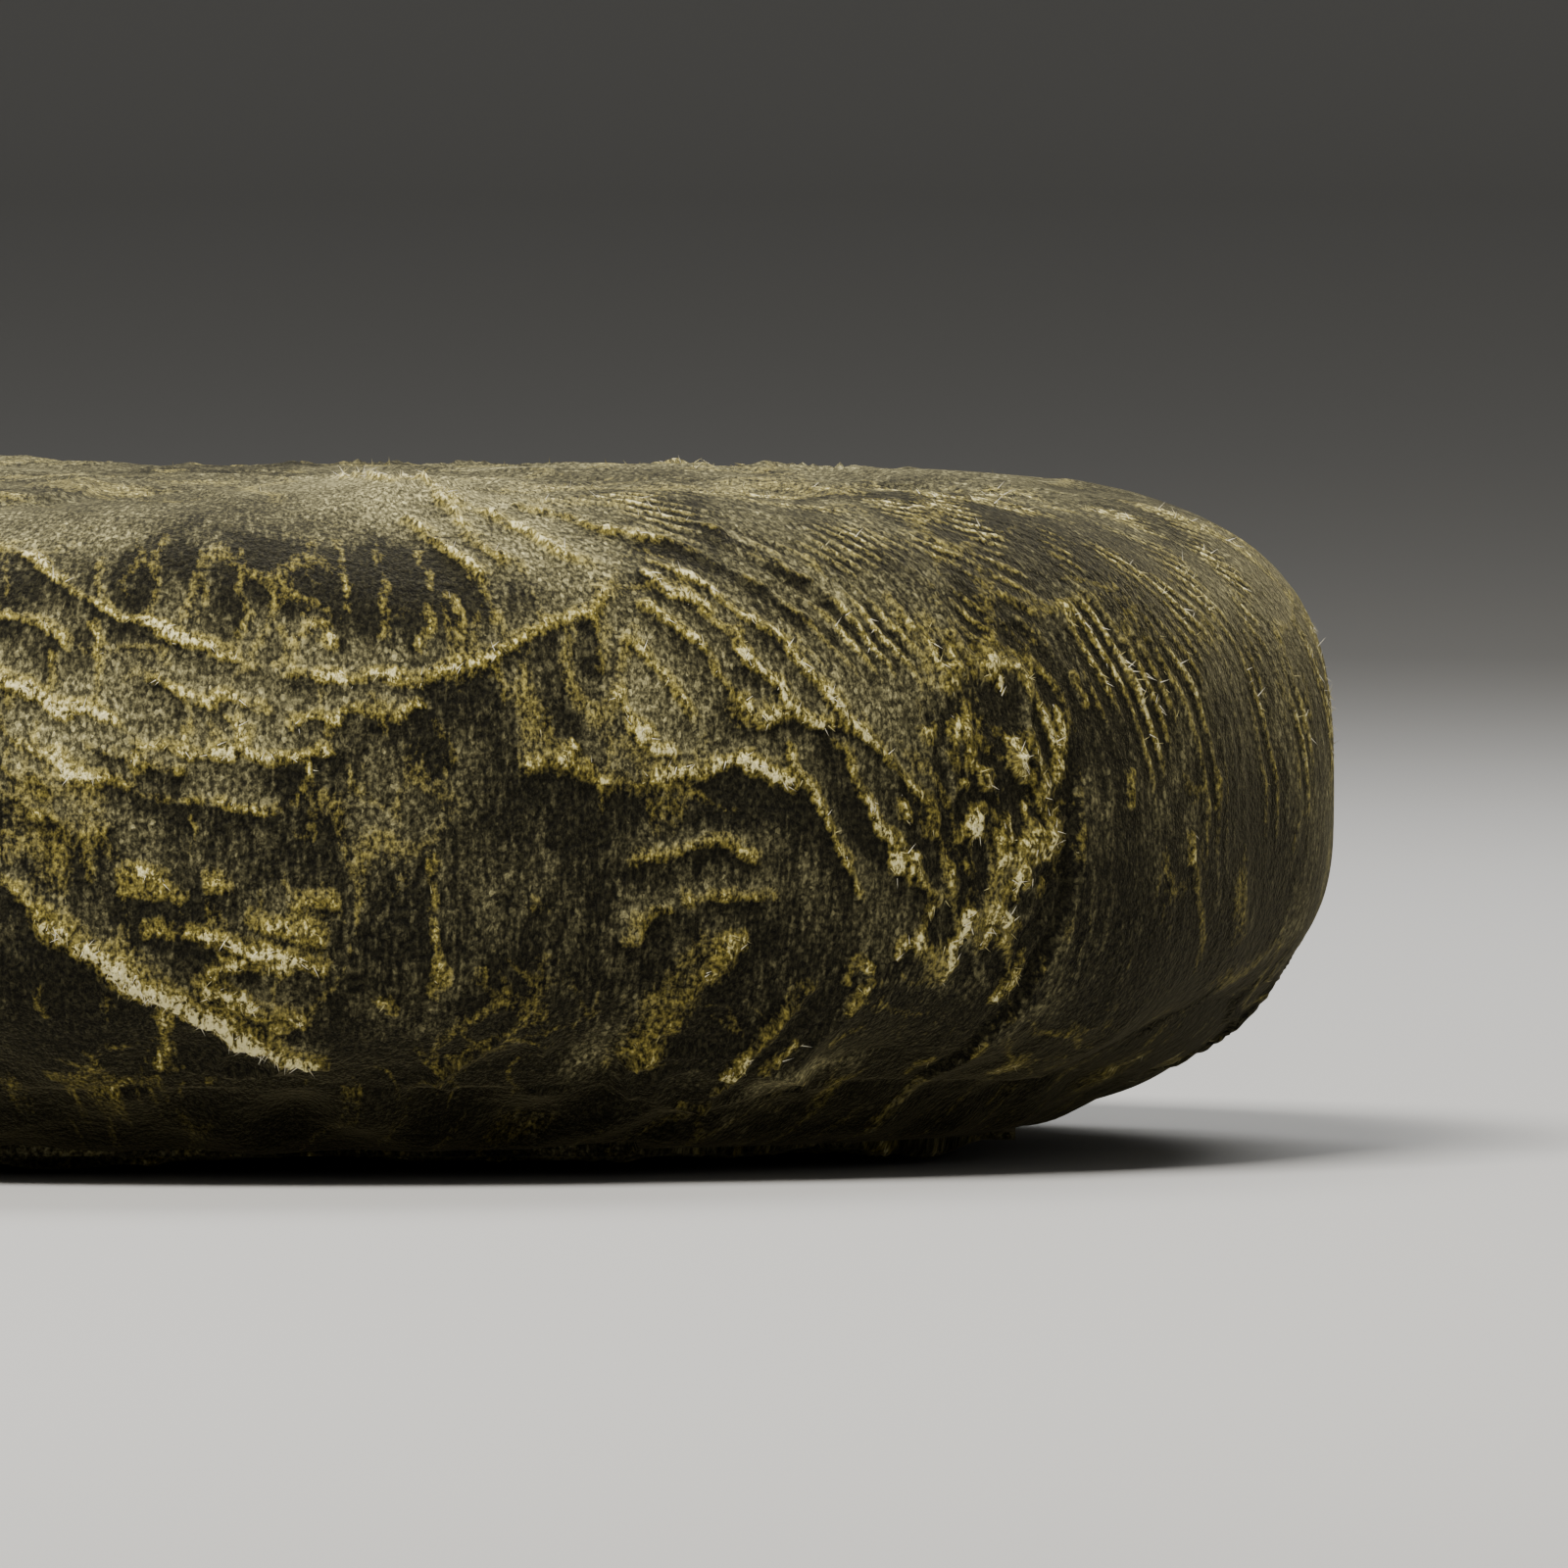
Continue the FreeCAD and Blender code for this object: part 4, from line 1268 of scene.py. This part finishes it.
def make_corner(name, node, azimuth, seed):
    """A folded corner of the cloth: a flat triangle with a soft cut edge, pile side down."""
    tip, strip = 0.9, 1.3
    rows = int((FOLD_DISTANCE + strip - tip) / CORNER_STEP) + 1
    columns = CORNER_COLUMNS
    outward = np.linspace(tip, FOLD_DISTANCE + strip, rows)[:, None]
    inside = np.minimum(outward, FOLD_DISTANCE - 0.2)
    half = np.minimum(inside - 0.42, np.sqrt(np.maximum(TUCK_RADIUS**2 - inside**2, 0)))
    half = half * (1 - 0.04 * smooth(outward, FOLD_DISTANCE - 0.2, FOLD_DISTANCE + 0.3))
    across = np.linspace(-1, 1, columns)[None, :] * half
    outward = outward + 0 * across
    edge = np.minimum((half - np.abs(across)), (outward - tip) * 0.9)
    roll = np.sqrt(np.clip(1 - (1 - np.clip(edge / 0.55, 0, 1)) ** 2, 0, 1))
    turn = math.radians(azimuth)
    east = outward * math.sin(turn) + across * math.cos(turn)
    north = -outward * math.cos(turn) + across * math.sin(turn)
    spots = np.column_stack([east.ravel(), north.ravel(), np.zeros(east.size)])
    out, opened_and_highlit, nap_and_painted_light = corner_field(spots, seed)
    hidden = smooth(outward, FOLD_DISTANCE - 0.3, FOLD_DISTANCE + 0.4)
    middle, low, high = 0.85, 0.42, 1.5
    lower = np.maximum(low - out.reshape(east.shape), 0.05) * (1 - hidden) + 0.6 * hidden
    upper = high + 0.5 * (out.reshape(east.shape) - 0.2).clip(-0.2, 0.3) * (1 - hidden) - 0.1 * hidden
    lower = middle - (middle - lower) * roll
    upper = middle + (upper - middle) * roll
    faces_down = np.column_stack([east.ravel(), north.ravel(), lower.ravel()])
    faces_up = np.column_stack([east.ravel(), north.ravel(), upper.ravel()])
    points = np.vstack([faces_down, faces_up])
    bottom = grid_quads(rows, columns)
    top = bottom[:, ::-1] + len(faces_down)
    rim = ([r * columns for r in range(rows)]
           + [(rows - 1) * columns + c for c in range(1, columns)]
           + [r * columns + columns - 1 for r in range(rows - 2, -1, -1)]
           + [c for c in range(columns - 2, 0, -1)])
    rim = np.array(rim)
    ahead = np.roll(rim, -1)
    wall = np.stack([rim, rim + len(faces_down), ahead + len(faces_down), ahead], 1)
    mesh = new_mesh(name, points, bottom.tolist() + wall.tolist() + top.tolist())
    shade_smooth(mesh)
    point_field(mesh, "opened_and_highlit", np.concatenate([opened_and_highlit, 0.3 * opened_and_highlit]))
    point_field(mesh, "nap_and_painted_light", np.concatenate([nap_and_painted_light, nap_and_painted_light]))
    onward = np.concatenate([outward.ravel(), outward.ravel() + high - low])
    cloth_map(mesh, np.tile(across.ravel(), 2) * MM, onward * MM)
    piece = add_object(name, mesh, VELVET, BACKING)
    slots = np.zeros(len(mesh.polygons), np.int32)
    slots[len(bottom) + len(wall):] = 1
    mesh.polygons.foreach_set("material_index", slots)
    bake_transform(piece)
    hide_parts(node)


crown = make_crown()

for number, side in enumerate(("front", "right", "back", "left")):
    make_corner("velvet_corner_" + side, side + "_flap", 90.0 * number,
                2000 + 50 * number)

# the loose fibres' pale gold and straw colours are in part a painted highlight of lit fibres
FIBRE_GOLD = loose_fibre("gold_fibre", (0.52, 0.46, 0.20, 1), 0.55)
FIBRE_STRAW = loose_fibre("straw_fibre", (0.85, 0.80, 0.62, 1), 0.45)
for piece in crown:
    end = piece.name.replace("velvet_", "")
    tufts("pile_gold_" + end, piece, "bundle", FIBRE_GOLD, 51, Tufts_per_square_metre=1.0e7,
          Length=0.00026, Thickness=0.000016, Lean=1.25, Least_wear=0.35)
    tufts("pile_straw_" + end, piece, "bundle", FIBRE_STRAW, 71, Tufts_per_square_metre=1.8e7,
          Length=0.00030, Thickness=0.000015, Lean=1.2, Least_wear=0.62)

for node, material in (("rosin_cake", amber_rosin()), ("glue_film", dried_glue())):
    frame["nodes"][node].data.materials.clear()
    frame["nodes"][node].data.materials.append(material)


# ---------------------------------------------------------------- floor, light and camera
def make_floor():
    """A pale floor that sweeps up into a wall far behind, in metres."""
    side, front, bend, wall, top = 3.0, -3.0, 0.5, 3.2, 2.4
    steps = 16
    profile = [(front, 0.0), (-0.4, 0.0), (0.4, 0.0), (wall - bend, 0.0)]
    for step in range(1, steps + 1):
        turn = math.radians(90 * step / steps)
        profile.append((wall - bend + bend * math.sin(turn), bend - bend * math.cos(turn)))
    profile.append((wall, top))
    points = [(x, y, z) for y, z in profile for x in (-side, side)]
    faces = [(2 * k, 2 * k + 1, 2 * k + 3, 2 * k + 2) for k in range(len(profile) - 1)]
    mesh = bpy.data.meshes.new("floor")
    mesh.from_pydata(points, [], faces)
    shade_smooth(mesh)
    r = Recipe("pale_floor")
    r.surface({"Base Color": (0.52, 0.515, 0.50, 1), "Roughness": 0.85})
    add_object("floor", mesh, r.material)


def soft_light(name, place_at, aim, size, power, colour=(1, 1, 1)):
    """A broad lamp, with its size in metres and its power in watts."""
    data = bpy.data.lights.new(name, "AREA")
    data.shape = "RECTANGLE"
    data.size, data.size_y = size
    data.energy = power
    data.color = colour
    light = bpy.data.objects.new(name, data)
    bpy.context.scene.collection.objects.link(light)
    light.location = place_at
    light.rotation_euler = (Vector(aim) - Vector(place_at)).to_track_quat("-Z", "Y").to_euler()


def make_lights():
    """A large soft lamp from the upper left, a second from behind, and a faint even sky."""
    world = bpy.data.worlds.new("studio")
    bpy.context.scene.world = world
    world.use_nodes = True
    sky = world.node_tree.nodes["Background"].inputs
    sky["Color"].default_value = (0.82, 0.81, 0.78, 1)
    sky["Strength"].default_value = 0.16
    middle = (0.006, -0.02, 0.010)
    soft_light("key", (-0.14, -0.20, 0.40), middle, (0.26, 0.16), 3.6, (1.0, 0.97, 0.92))
    soft_light("back", (0.06, 0.26, 0.30), middle, (0.30, 0.14), 1.2)


def make_camera():
    """Level with the bundle's side, a little above, and nearer its right end."""
    shown_width = 0.0466       # of the view, at the bundle
    lens, sensor = 700.0, 36.0
    far = shown_width * lens / sensor
    elevation = math.radians(1.7)
    target = Vector((0.0150, 0.0, WRAP_HEIGHT / 2 * MM + 0.00076))
    back = Vector((0, -math.cos(elevation), math.sin(elevation)))
    data = bpy.data.cameras.new("camera")
    data.lens, data.sensor_width = lens, sensor
    data.clip_start = 0.01
    camera = bpy.data.objects.new("camera", data)
    bpy.context.scene.collection.objects.link(camera)
    camera.location = target + back * far
    camera.rotation_euler = (-back).to_track_quat("-Z", "Y").to_euler()
    bpy.context.scene.camera = camera


make_floor()
make_lights()
make_camera()

bpy.context.view_layer.update()
